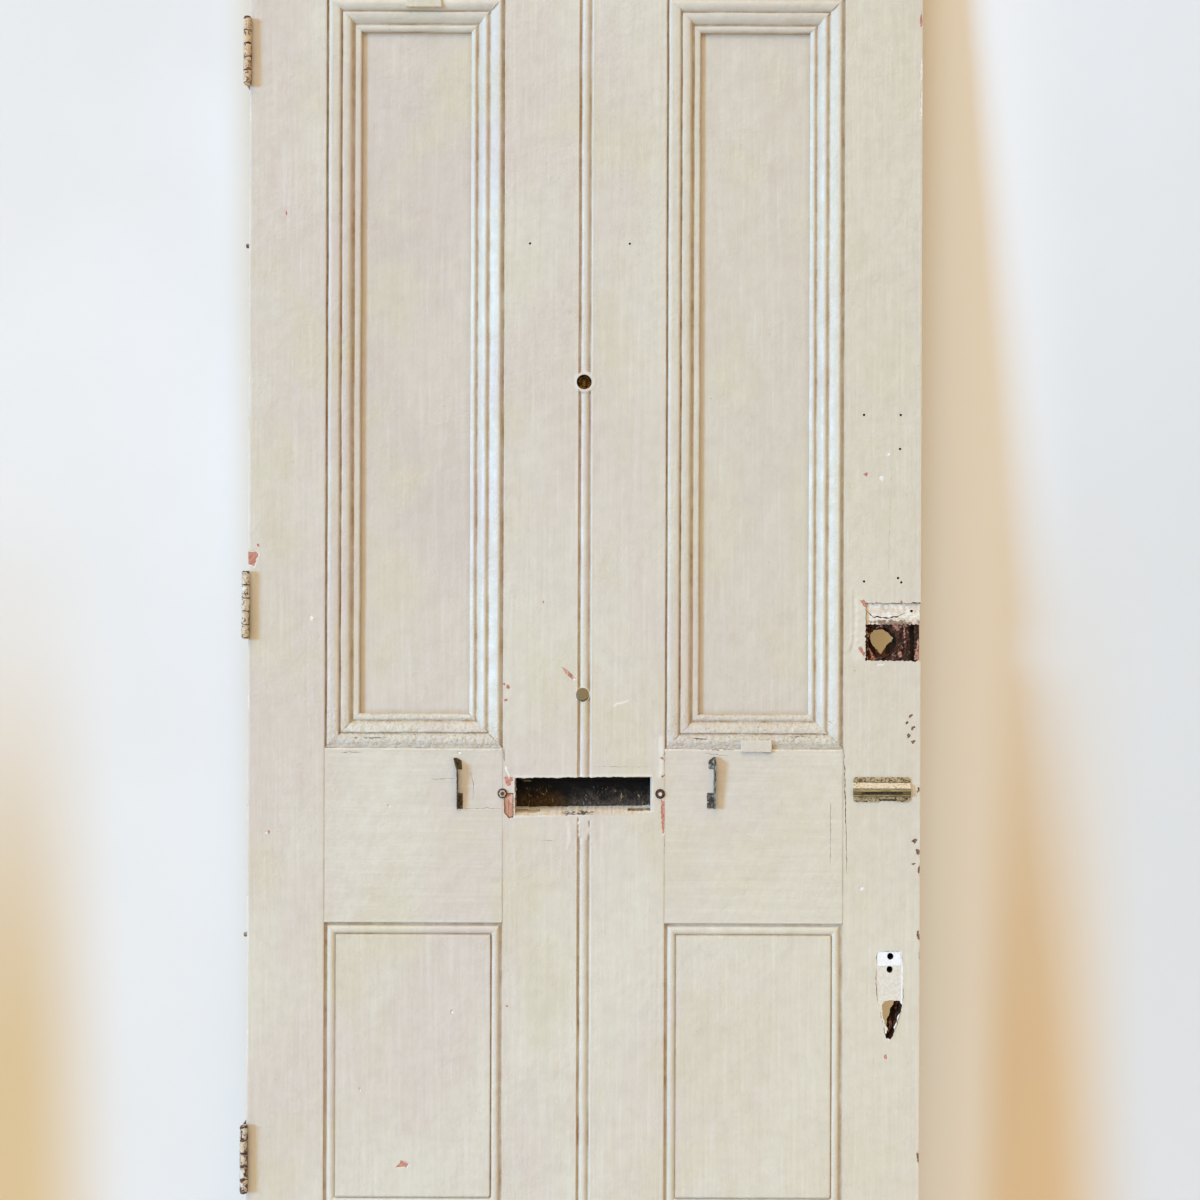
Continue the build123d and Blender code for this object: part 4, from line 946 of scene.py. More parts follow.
def lock_relief(x, z, depth):
    """Paint ridges left round the old latch and escutcheon, and lumps beside them."""
    places = np.stack([x, z, np.zeros_like(x)], axis=-1)
    old_latch = marks((851, 590), (852, 618), (851.5, 640), (849, 649), (844, 652.5), (838, 653))
    beside = marks((857, 596), (858, 622), (856.5, 650))
    raised = ridge(x, z, old_latch, 1.6, 0.7) + ridge(x, z, beside, 2.2, 0.45)
    near_latch = np.exp(-(to_line(x, z, marks((858, 600), (857, 655))) / (9 * MM)) ** 2)
    raised += near_latch * 0.35 * MM * waves(places, 11 * MM, 21)
    rim = marks((879, 950.5), (901, 950.5), (902.6, 967), (902.6, 1000), (899, 1018), (893, 1034),
                (889, 1042.5))
    other = marks((879, 950.5), (876.8, 967), (878.5, 1000), (882, 1020), (886, 1037), (889, 1042.5))
    raised += ridge(x, z, rim, 1.1, 0.55) + ridge(x, z, other, 1.1, 0.5)
    outside = marks((904.5, 962), (906, 985), (904.5, 1006))
    raised += ridge(x, z, outside, 1.2, 0.35)
    lumps = [(862, 890, 5, 7), (888, 455, 4, 4), (870, 930, 6, 3), (905, 840, 5, 9)]
    for k, (a, d, w, t) in enumerate(lumps):
        raised += patch(x, z, marks((a, d))[0], (w, t), 0.22, 40 + k, 1.5)
    edge = np.exp(-((x - half_width) / (3 * MM)) ** 2)
    # Dirt with painted shade in the quirk along the moulding's edge, and a painted shadow line beside the
    # old latch's ridge
    grime_and_shade = 0.35 * np.exp(-((x - opening_outer) / (1.2 * MM)) ** 2)
    grime_and_shade += 0.4 * ridge(x, z, marks((853.5, 596), (853.5, 640), (850, 651)), 1.1, 1) / MM
    lip = arris(x, z, 26)
    pale = edge * 0.3 + near_latch * 0.3 + ridge(x, z, marks((900.8, 966), (900.8, 1000)), 1.6, 1) / MM
    return raised + edge * 0.2 * MM + lip * 0.3 * MM, grime_and_shade, np.clip(pale + lip * 0.2, 0, 1)


def middle_relief(x, z, depth):
    """The centre of the leaf: quirks filled round the furniture holes and under the letter slot, a raised
    ring of paint, a scar, and dirt with painted shade in the quirks, darker in the left one."""
    knocker = marks((585.4, 382))[0]
    knob = marks((583.3, 694.4))[0]
    disc = round_area(x, z, knocker, 14.4, 0.35)
    small_disc = round_area(x, z, knob, 9.8, 0.3)
    under = marks((586, 812), (584, 828), (596, 836))
    masks = [
        disc,
        small_disc,
        patch(x, z, under[0], (21, 15), 1, 31, 2) / MM,
        patch(x, z, under[1], (9, 14), 1, 32, 2) / MM,
        patch(x, z, under[2], (7, 15), 0.8, 33, 2) / MM,
    ]
    raised, fill = level_ground(depth, masks)
    raised = raised + ring(x, z, knocker, 12.4, 1.8, 0.65) + disc * 0.5 * MM
    raised += ring(x, z, knocker, 18.5, 1.5, 0.3) * (x > knocker[0])
    raised += ring(x, z, knob, 9.6, 0.8, 0.35)
    scar = marks((614.5, 706), (617, 703.5), (621, 703.5), (627.5, 701))
    raised += ridge(x, z, scar, 0.9, 0.5)
    filler_left = marks((568, 822), (569.5, 838), (567, 849))
    filler_right = marks((595.5, 822), (597, 838), (596.5, 850))
    raised += ridge(x, z, filler_left, 1.2, 0.35) + ridge(x, z, filler_right, 1.0, 0.35)
    raised += patch(x, z, marks((583, 832))[0], (20, 24), 0.3, 35, 2.5)
    slot_lip = marks((514, 776.5), (652, 775.5), (653.5, 812), (515, 817), (514, 776.5))
    raised += ridge(x, z, slot_lip, 1.6, 0.4)
    jamb = marks((661, 738), (662.5, 756), (661, 776))
    places = np.stack([x, z, np.zeros_like(x)], axis=-1)
    raised += ridge(x, z, jamb, 3.2, 0.7) * (1 + 0.5 * waves(places, 6 * MM, 22))
    lip = arris(x, z, 27)
    beside = waves(np.stack([0 * x, 0 * x, z], axis=-1), 0.035, 28)
    bead_lip = np.exp(-((x - 10.4 * MM) / (1.1 * MM)) ** 2)
    bead_lip += 0.5 * np.exp(-((x + 9.8 * MM) / (1.1 * MM)) ** 2)
    bead_lip = bead_lip * (0.65 + 0.35 * beside) * (1 - np.clip(fill * 2, 0, 1))
    raised += lip * 0.3 * MM + bead_lip * 0.45 * MM
    quirk = np.clip(depth / (4 * MM), 0, 1) ** 2
    along = 0.72 + 0.28 * waves(np.stack([0 * x, 0 * x, z], axis=-1), 0.06, 23)
    # Painted shade: the left quirk, on the shaded side, is darkened more than the right
    grime_and_shade = quirk * (1 - fill) * np.where(x < 0, 0.9, 0.55) * along
    grime_and_shade += 0.3 * np.exp(-((np.abs(x) - opening_inner) / (1.2 * MM)) ** 2)
    pale = ridge(x, z, scar, 1.0, 1) / MM + 0.45 * ridge(x, z, filler_left, 1.6, 1) / MM
    pale += 0.5 * ridge(x, z, jamb, 3, 1) / MM + 0.25 * ring(x, z, knocker, 12.2, 1.8, 1) / MM
    pale += 0.5 * ridge(x, z, slot_lip, 1.2, 1) / MM + 0.2 * lip + 0.35 * bead_lip
    return raised, np.clip(grime_and_shade, 0, 1), np.clip(pale, 0, 1)


hinge_stile = stile(
    "hinge_stile", flat_face(-457, -352, ease_left=1.8), -half_width, -opening_outer, hinge_relief, []
)
lock_stile = stile(
    "lock_stile", flat_face(352, 457, ease_right=1.8), opening_outer, half_width, lock_relief,
    [(440, 580), (650, 660), (955, 1070)],
)

# Centre bead on the joint of the meeting stiles: quirk, half-round bead, quirk
bead_line = [(-12, 0), (-9, 0), (-7.8, 3.6), (-6, 4), (-6, 3.4), *arc((-6, 3.4), (0, 0.4), (6, 3.4))[1:],
             (6, 4), (7.5, 4)]
bead_line = soften(bead_line, 0.5, 0.6)
left_face = np.vstack([flat_face(-110, -11)[:-3], bead_line])
right_face = np.vstack([soften([(7.5, 4), (7.8, 3.6), (9, 0), (12, 0)], 0.4, 0.6), flat_face(11, 110)[3:]])
busy = [(700, 870), (900, 965), (1320, 1375)]
meeting_left = stile("meeting_stile_left", left_face, -opening_inner, joint_x, middle_relief, busy)
meeting_right = stile("meeting_stile_right", right_face, joint_x, opening_inner, middle_relief, busy)


# Joinery and damage cut into the stiles, in millimetres
tenons = [(26, 96), (122, 192), (635, 715), (745, 825), (1890, 1948)]
grooves = [(lower_low / MM - 12, lower_high / MM + 12), (upper_low / MM - 12, upper_high / MM + 12)]
key_heights = (110, 480, 1120, 1560, 1900)
hinge_boxes = [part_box(f"hinge_door_leaf_{place_name}") for place_name in ("bottom", "middle", "top")]
hinge_heights = [(low.z / MM, high.z / MM) for low, high in hinge_boxes]

for side, piece in ((-1, hinge_stile), (1, lock_stile)):
    wide = [((side * 458, -7, low - 6), (side * 407, 7, high + 6)) for low, high in tenons]
    deep = [((side * 410, -7, low), (side * 351, 7, high)) for low, high in tenons]
    groove = [((side * 351, -7, low), (side * 364, 7, high)) for low, high in grooves]
    carve(piece, blocks(wide, plain_wood))
    carve(piece, blocks(deep, plain_wood))
    carve(piece, blocks(groove, plain_wood))
for side, piece in ((-1, meeting_left), (1, meeting_right)):
    inner = [((side * 111, -7, low), (side * 60, 7, high)) for low, high in tenons]
    inner += [((-22.5, -7, z - 30), (37.5, 7, z + 30)) for z in key_heights]
    groove = [((side * 111, -7, low), (side * 98, 7, high)) for low, high in grooves]
    carve(piece, blocks(inner, plain_wood))
    carve(piece, blocks(groove, plain_wood))
leaf_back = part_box("hinge_door_leaf_middle")[1].y / MM
carve(hinge_stile, blocks([((-458, -24, low), (-454.6, leaf_back, high)) for low, high in hinge_heights],
                          plain_wood))
# The lost lock's mortice in the edge, and the recess of its plate
carve(lock_stile, blocks([((377, -8, 430), (458, 8, 535))], broken_wood))
carve(lock_stile, blocks([((454, -11, 407.5), (458, 11, 557.5))], broken_wood))


def chips(places, depth=0.5, seed=1, uneven=0.3):
    """Small flaked places: across, down, wide, tall in the photograph, and a turn."""
    cuts = []
    for k, (a, d, w, t, turn) in enumerate(places):
        line = oval(spot(a, d), (w * 0.66, t * 0.66), uneven, seed + k, 26, turn)
        line = ragged(line, 0.16 * min(w, t), 2.6, seed + k, 0.6)
        cuts.append(sinking(line, depth, 0.08, seed + k, 0.14, 2, 4))
    return cuts


def torn(corners, depth, seed, amount=0.5, rough=0.15):
    """A torn or flaked place between corners given in the photograph."""
    return sinking(ragged(spots(*corners), amount, 5, seed, 1.0), depth, rough, seed, 0.12, 3, 5)


def damage(piece, cuts, floor, side=None):
    cut_out(piece, cuts, side or white_undercoat, floor)


# Letter slot, cut through both meeting stiles, its sill falling towards the room
slot_line = ragged(spots((514.5, 777.8), (651.7, 776.8), (651.7, 813.8), (514.5, 815.6)), 0.45, 7, 60)
slot_top = max(slot_line[:, 1])
slot_rings = []
for depth in (-5, -0.3, 0.3, 3, 10, 20, 32, 46):
    t = np.clip(depth * MM / (back - front), 0, 1)
    line = slot_line.copy()
    line[:, 1] += t * 7 * (slot_top - line[:, 1]) / 52
    slot_rings.append(at_depth(line, depth))
slot_cut = [(slot_rings, [0] * (len(slot_rings) - 1))]
knocker_cut = [sinking(oval((-1.3, 1345.6), (10.1, 10.1), 0.02, 3, 60), 14.5, 1.6, 4, 0.05, 5, 9)]
knob_cut = [shaft(oval((-2, 921), (8.8, 9.6), 0.03, 5, 48), 46, rough=0.25, seed=6, taper=0.98)]
bolt_cut = [
    shaft(oval((x, 787), (3.1, 3.1), 0.02, 7, 24), 46, rough=0, seed=8, layers=3) for x in (-110.3, 103.7)
]
small_holes = [
    shaft(oval((x, 1533.5), (1.6, 1.6), 0.05, 9, 14), 14, rough=0.1, layers=4) for x in (-75.5, 60)
]
for piece in (meeting_left, meeting_right):
    cut_out(piece, slot_cut, sill_paint_brightened)
    cut_out(piece, knocker_cut, dark_dirt, hole_floor_brightened)
    cut_out(piece, knob_cut, hole_side)
    cut_out(piece, bolt_cut + small_holes, dark_dirt)

# Meeting stiles: splinter, bare patch beside the slot, flakes and hairlines
damage(
    meeting_left,
    [torn([(561.6, 666.6), (566, 668.4), (571, 673.2), (577, 679.2), (573.5, 680.4), (568, 676),
           (564, 671)], 1.0, 61, 0.35)],
    salmon_wood,
)
damage(
    meeting_left,
    [torn([(503.6, 796), (508, 792.6), (513.6, 793), (513.6, 817), (509, 818.4), (504.2, 813)],
          1.1, 62, 0.4)],
    salmon_wood,
    brown_chip,
)
damage(
    meeting_left,
    [
        torn([(504.4, 777), (507, 775.4), (508.6, 778.4), (511, 776.4), (513.8, 777.2), (513, 781),
              (510.6, 782.4), (511.6, 786), (507.4, 787), (505, 783)], 0.6, 170, 0.5),
        *chips([(508, 687, 4.4, 4, 0.3), (504.4, 684, 2.6, 3, 0), (506, 700, 4, 3, 0.2),
                (543.5, 602, 2, 3, 0), (507, 1006, 2, 3, 0)], 0.5, 70),
    ],
    pink_primer,
    pale_pink,
)
damage(
    meeting_left,
    [torn([(504.4, 763), (506.2, 766), (508, 772), (510.2, 776.4), (508.2, 776.8), (505.6, 772),
           (503.8, 766)], 0.4, 171, 0.3)],
    white_undercoat,
)
cut_out(
    meeting_left,
    [furrow(spots((503.9, 748), (504.3, 762)), 0.9, 0.8, 80, 0.2),
     furrow(spots((540, 840), (556, 841)), 0.5, 0.3, 81)],
    brown_chip,
)
damage(
    meeting_right,
    [
        torn([(661.2, 798), (665.5, 800), (666, 816), (664.6, 834), (662.6, 836), (661, 818)], 0.5, 63, 0.5),
        *chips([(662.3, 758.4, 3, 4, 0.8), (662.8, 776.4, 3, 2, 0)], 0.7, 90),
    ],
    pink_primer,
    pale_pink,
)
cut_out(
    meeting_right,
    [furrow(spots((667, 732), (667.6, 742), (667, 748), (665.4, 752), (663.6, 756.4)),
            1.0, 1.0, 180, 0.35),
     furrow(spots((662.8, 758.4), (665.2, 762), (666.2, 768), (666, 773), (663.6, 776.6), (662, 777.8)),
            1.0, 1.0, 182, 0.3),
     furrow(spots((592, 766.5), (650, 766.9)), 0.45, 0.3, 82, 0.4),
     furrow(spots((664.4, 838), (665.2, 872)), 0.8, 0.8, 83, 0.3),
     furrow(spots((606, 745), (606.5, 754)), 0.5, 0.3, 84)],
    brown_chip,
)

# Lock stile: the sunk place of the latch, an upper step of old paint and a deeper one of broken wood
latch_step, latch_depth = 3.3, 10.6
shallow_line = ragged(spots((865.6, 603.2), (925, 603.2), (925, 627), (865.6, 627)), 0.35, 6, 64)
shallow = sinking(shallow_line, latch_step, 0.45, 65, 0.03, 4.5, 22)
cut_out(lock_stile, [shallow], brown_chip, latch_paint)
deep_line = ragged(spots((865.6, 624.2), (925, 624.2), (925, 660.8), (865.6, 660.8)), 0.6, 5, 66)
deep = sinking(deep_line, latch_depth, 1.2, 67, 0.03, 6, 24)
cut_out(lock_stile, [deep], broken_wood, broken_wood)
carve(lock_stile, blocks([((455.8, -26, 968.4), (459, -9, 1046.4))], broken_wood))
# The bore, the hole through and the keyhole take the darkened wood as painted shade
cut_out(lock_stile, [shaft(oval((406, 994), (19.6, 19.8), 0.03, 68, 72), 26, rough=0.5, seed=68)], shaded_bore_wood)
through = spots(
    (869.4, 637.4), (870.6, 632.6), (874.6, 629.4), (882.6, 629), (887.5, 632), (889.8, 634.6),
    (893.4, 637.8), (891.4, 641.4), (887.8, 643.8), (885.4, 647.6), (880.4, 654.6), (876, 649.5),
    (871.4, 644.6),
)
cut_out(
    lock_stile,
    [shaft(ragged(through, 0.3, 4, 69, 1.0), 47, rough=0.35, seed=69, shift=(7.6, -1.2))],
    shaded_bore_wood,
)
groove_line = ragged(spots((910.4, 626), (915.6, 626), (915.8, 661.6), (911.4, 661.8)), 0.4, 5, 71)
cut_out(lock_stile, [shaft(groove_line, 19, rough=0.4, seed=71)], dark_dirt)
cut_out(
    lock_stile,
    [furrow(spots((866, 611.5), (869, 613), (874, 617), (889, 618), (898, 616.5), (906, 612.5)),
            1.5, 1.6, 85, 0.5, 3.1),
     furrow(spots((867.5, 603.4), (884, 603.9), (901.5, 603.1)), 1.4, 1.6, 86, 0.3),
     furrow(spots((910.5, 603.4), (922, 602.6)), 1.4, 1.6, 87, 0.3)],
    dark_dirt,
)
damage(
    lock_stile,
    [
        torn([(859.6, 600.4), (864, 599.6), (870, 604.6), (868.6, 608.4), (864, 607)], 0.8, 72, 0.4),
        *chips([(877, 604.4, 4, 5, 0.3), (901.6, 602.6, 3, 5.4, 0), (872, 607, 3, 3, 0.2)], 0.8, 105),
        torn([(857.6, 647), (861, 645.6), (863.4, 650), (866, 653.6), (864.8, 657.6), (860.6, 652.4)],
             0.6, 73, 0.3),
        torn([(862.6, 474), (868.2, 472), (867.6, 477.6)], 0.5, 74, 0.3),
        *chips([(885.7, 1057, 3.4, 6.5, 0.25), (921.4, 21, 2.6, 18, 0)], 0.6, 100),
    ],
    pink_primer,
)
damage(
    lock_stile,
    chips(
        [(887.6, 454.5, 5, 4, 0.5), (881.4, 477.7, 5, 6, 0.2), (861, 888.5, 4, 5, 0.8),
         (921.4, 70, 3, 26, 0), (921.6, 104, 3, 30, 0), (880, 664.5, 9, 2.4, 0.1), (868, 659, 5, 3, 0)],
        0.5, 110,
    ),
    white_undercoat,
)
damage(
    lock_stile,
    chips(
        [(911, 716, 5, 3, 0.5), (907, 723, 4, 3, 0), (913, 728, 5, 4, 0.6), (909, 736, 4, 5, 0.2),
         (913.5, 742, 5, 4, 0.3), (915, 841, 6, 5, 0.2), (918, 852, 4, 8, 0.1), (914, 864, 4, 3, 0.4),
         (919, 870, 3, 9, 0), (918.6, 936, 4, 10, 0.1), (920.2, 955, 3, 16, 0), (917.5, 791.6, 2, 2, 0),
         (918.6, 1158, 4, 14, 0.1), (921, 1120, 2.4, 10, 0)],
        0.9, 120, 0.45,
    ),
    brown_chip,
)
# Painted shade: a dark patch on the face behind the chain slide's slot
damage(lock_stile, [torn([(863, 787), (907, 787), (907, 795), (863, 795)], 0.4, 174, 0.3)], brown_chip)
damage(lock_stile, [torn([(911.5, 785.6), (919, 786.6), (921, 789), (919, 791.4), (914, 792.4)],
                         0.25, 75, 0.7)], imprint_paint)
# Old brown primer behind the window of the slide's lower flange, made dark as painted shade, and a chip at
# the edge
damage(
    lock_stile,
    [torn([(879, 794.6), (898.4, 794.6), (898.4, 801.4), (879, 801)], 1.2, 175, 0.3),
     *chips([(918.6, 789.4, 2.4, 6, 0)], 0.8, 176)],
    brown_chip, brown_chip,
)

# Lock stile: the escutcheon's bare place, keyhole and fixing holes
imprint = spots((877, 951), (901, 951), (902.4, 966), (902, 1000), (898.6, 1016), (892.8, 1032),
                (888.8, 1041.6), (885.4, 1034), (880.8, 1018), (877.4, 1000), (875.8, 966))
cut_out(
    lock_stile,
    [sinking(ragged(imprint, 0.25, 6, 76, 1.2), 0.45, 0.09, 76, 0.04, 4, 12)],
    imprint_white,
    imprint_paint,
)
top_block = spots((877.2, 951.6), (900.8, 951.6), (901.6, 958), (901.4, 965.8), (888, 966.2),
                  (876.8, 966.6), (876.4, 957))
cut_out(
    lock_stile,
    [sinking(ragged(top_block, 0.2, 5, 79, 1.0), 0.75, 0.06, 79, 0.04, 4, 6)],
    brown_chip,
    imprint_white,
)
cut_out(
    lock_stile,
    [furrow(spots((875.8, 968), (876.4, 990), (877.4, 1003)), 0.9, 0.9, 95, 0.4),
     furrow(spots((879.6, 1008), (882.6, 1022), (886, 1037)), 0.9, 0.8, 96, 0.5),
     furrow(spots((903.2, 985), (903, 1002)), 0.6, 0.5, 97, 0.4),
     furrow(spots((900.5, 1012), (897, 1024), (893, 1035)), 0.8, 0.7, 98, 0.5),
     furrow(spots((876.4, 966), (876, 958), (878, 952), (890, 951.2), (899, 951.6), (901.8, 957),
                  (901.8, 965)), 0.6, 0.5, 99, 0.2)],
    brown_chip,
)
keyhole = spots(
    (882, 1006), (884.6, 1001.6), (890, 1000.2), (899.8, 1000.8), (902, 1005), (900.8, 1011.6),
    (897.4, 1017.6), (896.4, 1023), (893.6, 1027), (894.6, 1031), (893, 1036.4), (890.2, 1039.4),
    (886.2, 1038), (885.4, 1034.4), (888, 1029.6), (884.8, 1023), (882.8, 1015),
)
cut_out(
    lock_stile,
    [shaft(ragged(keyhole, 0.3, 3.5, 77, 0.9), 47, rough=0.45, seed=77, taper=0.98,
           shift=(-3.0, 0))],
    shaded_bore_wood,
)
plate_screws = [(890.3, 956.4), (889.6, 969.4)]
holes = [shaft(oval(spot(a, d), (4.3, 4.5), 0.06, 78, 24), 30, layers=6) for a, d in plate_screws]
screws = [(864, 415), (900.7, 415), (900, 449), (864, 581.4), (898, 578), (901.2, 582.4)]
holes += [shaft(oval(spot(a, d), (1.7, 1.7), 0.1, int(a), 14), 14, rough=0.1, layers=4) for a, d in screws]
cut_out(lock_stile, holes, dark_dirt)
cut_out(
    lock_stile, [shaft(oval(spot(912, 611), (1.9, 1.9), 0.1, 79, 14), 16, rough=0.1, layers=4)], dark_dirt
)
cut_out(
    lock_stile,
    [furrow(spots((843.9, 749), (844.8, 780), (845.6, 815), (846.6, 850), (846.4, 874)),
            1.0, 1.2, 88, 0.35),
     furrow(spots((892, 462), (890, 520), (888, 575)), 0.35, 0.25, 89, 0.5)],
    brown_chip,
)

# Hinge stile: flakes along its edge
damage(
    hinge_stile,
    [
        torn([(247, 551), (256.5, 550.6), (259.6, 553.6), (256.6, 560), (254.6, 567.4), (247, 565)],
             0.6, 91, 0.4),
        *chips([(258.5, 545.5, 3, 4, 0.4), (286.5, 213, 2.2, 6, 0.2), (269, 832, 2.4, 5, 0)], 0.4, 130),
    ],
    pink_primer,
)
damage(
    hinge_stile,
    chips(
        [(311, 618, 3.4, 6, 0.2), (249.4, 118, 3, 20, 0), (249, 168, 2.4, 26, 0), (248.6, 300, 2.4, 18, 0),
         (248, 420, 2.4, 30, 0), (247.6, 700, 2.6, 20, 0), (247, 812, 2.6, 30, 0), (246.8, 900, 2.4, 14, 0),
         (246.2, 1040, 2.6, 24, 0), (266, 833, 2, 3, 0.4)],
        0.5, 140, 0.35,
    ),
    white_undercoat,
)


# Mouldings
height = (seat - front) / MM
outer_line = [(0, height - 4.4), (1.6, height - 4.4)]
lip_line = np.vstack([
    [(36.6, height - 10.6)],
    arc((36.9, height - 10.4), (41.4, height - 8), (46.0, height - 10.6), 12),
    [(46.4, height - 10.8)],
])
level_line = np.vstack([
    outer_line,
    arc((1.8, height - 4.2), (10.5, height + 0.4), (19.2, height - 4.4), 24),
    [(20.4, height - 5.4)],
    arc((21.2, height - 3.2), (30.2, height - 4.6), (35.6, height - 9.6)),
    lip_line,
])
# The uprights to the left and right of a panel are worn to different crests
left_members = [
    (1.8, -4.2), (2.6, -1.9), (4.4, -0.5), (7.5, 0.1), (13, -0.2), (16.6, -0.7), (18.2, -1.6), (19.4, -4.4),
    (20.4, -5.4), (21.2, -3.4), (23, -2.8), (27.5, -2.9), (31, -3.7), (33, -5.2), (35.6, -9.8),
    (36.6, -10.6), (37.2, -9.6), (38.4, -8.6), (44, -8.9), (45.6, -9.6), (46.4, -10.8),
]
right_members = [
    (1.8, -4.3), (3.2, -2.6), (5.2, -0.5), (7.2, 0.2), (8.6, 0.0), (12, -1.2), (15.4, -2.7), (18, -4.1),
    (19.6, -5.0), (20.4, -5.4), (21.6, -5.1), (24, -3.5), (26, -2.9), (28, -3.4), (31, -5.2), (35.6, -9.6),
    (36.6, -10.6), (37.6, -10.2), (39.8, -8.7), (41.2, -8.2), (43.4, -8.8), (45.8, -10.4), (46.4, -10.8),
]
low_line = level_line.copy()
low_line[:2, 1] = height - 1.7
low_line[2:8, 1] = np.maximum(low_line[2:8, 1], height - 1.6)
section_lines = {"top": level_line, "bottom": low_line}
for edge, members in (("left", left_members), ("right", right_members)):
    section_lines[edge] = np.vstack([outer_line, [(u, height + h) for u, h in members]])
bead_strip_line = np.vstack([
    [(0, height - 4.2), (3.5, height - 4.2)],
    arc((4, height - 3), (9.6, height), (15.2, height - 3), 18),
    [(15.3, height - 3.4), (16, height - 3.4)],
])


def mitred_rings(side, low, high, edge, line, step):
    """Rings of one length of moulding along one edge of an opening. A section point at distance u from the
    edge runs from u after one corner to u before the other, which gives the mitres."""
    left, right = sorted((side * opening_inner, side * opening_outer))
    u = line[:, 0] * MM
    h = line[:, 1] * MM
    start, end = (low, high) if edge in ("left", "right") else (left, right)
    count = max(int((end - start) / step), 2)
    t = np.linspace(0, 1, count + 1)[:, None]
    along = start + u + t * (end - start - 2 * u)
    across = {"left": left + u, "right": right - u, "bottom": low + u, "top": high - u}[edge]
    across = np.broadcast_to(across, along.shape)
    y = np.broadcast_to(seat - h, along.shape)
    pair = (across, y, along) if edge in ("left", "right") else (along, y, across)
    return np.stack(pair, axis=-1)


def moulding_grime_and_shade(line, quirks, rings, seed):
    """Dirt with painted shade near each quirk and on steep slopes, given as (place, width, strength), uneven
    along the length.
    """
    u = line[:, 0]
    amount = sum(s * np.exp(-((u - q) / w) ** 2) for q, w, s in quirks)
    uneven = 0.75 + 0.25 * waves(rings, 0.05, seed)
    return np.clip(amount * uneven, 0, 1)


def closed_line(line):
    """The visible line of a moulding with its hidden back added."""
    return np.vstack([line, [(line[-1, 0], 0), (line[0, 0], 0)]])


# Dirt in the quirks with painted shade: the wider bands on the left and right lengths darken the members'
# steep slopes that face away from the light
level_quirks = [(0.8, 1.5, 0.8), (20.4, 1.3, 0.85), (36.4, 1.4, 0.85), (46.8, 1.4, 0.5)]
recessed_quirks = {
    "top": level_quirks,
    "bottom": [(0.8, 3.0, 0.4), (20.4, 1.3, 0.8), (36.4, 1.4, 0.8), (46.8, 1.4, 0.5)],
    "left": [(0.9, 1.5, 0.9), (20.3, 1.6, 0.9), (34.6, 1.9, 0.5), (36.6, 1.2, 0.5), (46.6, 1.4, 0.5)],
    "right": [(0.8, 1.2, 0.6), (3, 2.3, 0.5), (20.4, 1.2, 0.5), (22.8, 2.2, 0.5), (36.6, 1.2, 0.6),
              (38.6, 1.8, 0.45)],
}
bead_quirks = [(1.8, 2.2, 0.8), (16, 1.1, 0.9)]
# Crumbled paint of the bottom lengths: size and height of each wave in millimetres, and its seed
crumble = [(9, 0.26, 200), (4.5, 0.24, 201), (2.4, 0.14, 202)]
edges = ("left", "right", "top", "bottom")
moulding_cracks = {
    "left": [
        furrow(spots((352, 737.4), (372, 738), (385, 737.4)), 0.8, 1.0, 213, 0.4, 1.0),
        furrow(spots((446, 748), (458, 748.4), (470, 748)), 1.0, 1.4, 214, 0.3, 4.0),
    ],
    "right": [
        furrow(spots((692, 738), (701, 738.8), (712, 740.6)), 1.0, 1.6, 210, 0.4, 0.6),
        furrow(spots((700, 748.2), (716, 747.8), (736, 748)), 1.1, 1.4, 211, 0.3, 4.0),
        furrow(spots((786, 737), (800, 736.6), (818, 737)), 0.8, 1.0, 212, 0.4, 1.0),
    ],
}
soft_sections = {edge: closed_line(soften(line, 0.45, 0.8)) for edge, line in section_lines.items()}
soft_strip = closed_line(soften(bead_strip_line, 0.4, 0.75))

for side_name, side in sides.items():
    for number, edge in enumerate(edges):
        section = soft_sections[edge]
        step = (2 if edge == "bottom" else 9) * MM
        rings = mitred_rings(side, upper_low, upper_high, edge, section, step)
        grime_and_shade = moulding_grime_and_shade(section, recessed_quirks[edge], rings, number)
        crumbly = 0.12 + 0.88 * np.exp(-((rings[..., 2] - upper_low) / (48 * MM)) ** 2)
        shown = np.broadcast_to(section[:, 1] > 0.5, grime_and_shade.shape)
        rough = sum(k * waves(rings, size * MM, seed) for size, k, seed in crumble)
        rings = hand_made(rings)
        if edge == "bottom":
            outer = 1 + 0.9 * np.exp(-((rings[..., 2] - upper_low - 9 * MM) / (9 * MM)) ** 2)
            rings[..., 1] -= shown * outer * np.clip(rough, -0.35, 0.8) * MM
            rings[..., 2] += shown * 0.75 * outer * rough * MM
        paint = upright_paint if edge in ("left", "right") else level_paint
        spread = {"grime_and_shade": grime_and_shade, "crumbly": crumbly}
        piece = loft(f"upper_{side_name}_{edge}_profile", rings, [paint], spread)
        if edge == "bottom":
            cut_out(piece, moulding_cracks[side_name], brown_chip)
        smooth(piece, 50)
        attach(piece, "door")
        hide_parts(f"upper_{side_name}_moulding_{edge}")
    many = [mitred_rings(side, lower_low, lower_high, edge, soft_strip, 9 * MM) for edge in edges]
    grime_and_shade = np.concatenate([moulding_grime_and_shade(soft_strip, bead_quirks, rings, 7).ravel() for rings in many])
    piece = lofts(f"lower_{side_name}_beads", [hand_made(r) for r in many], [upright_paint],
                  {"grime_and_shade": grime_and_shade})
    smooth(piece, 50)
    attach(piece, "door")
    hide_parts(f"lower_beads_{side_name}")

for piece in (hinge_stile, lock_stile, meeting_left, meeting_right):
    smooth(piece, 40)


# Pieces made from copies of the solids

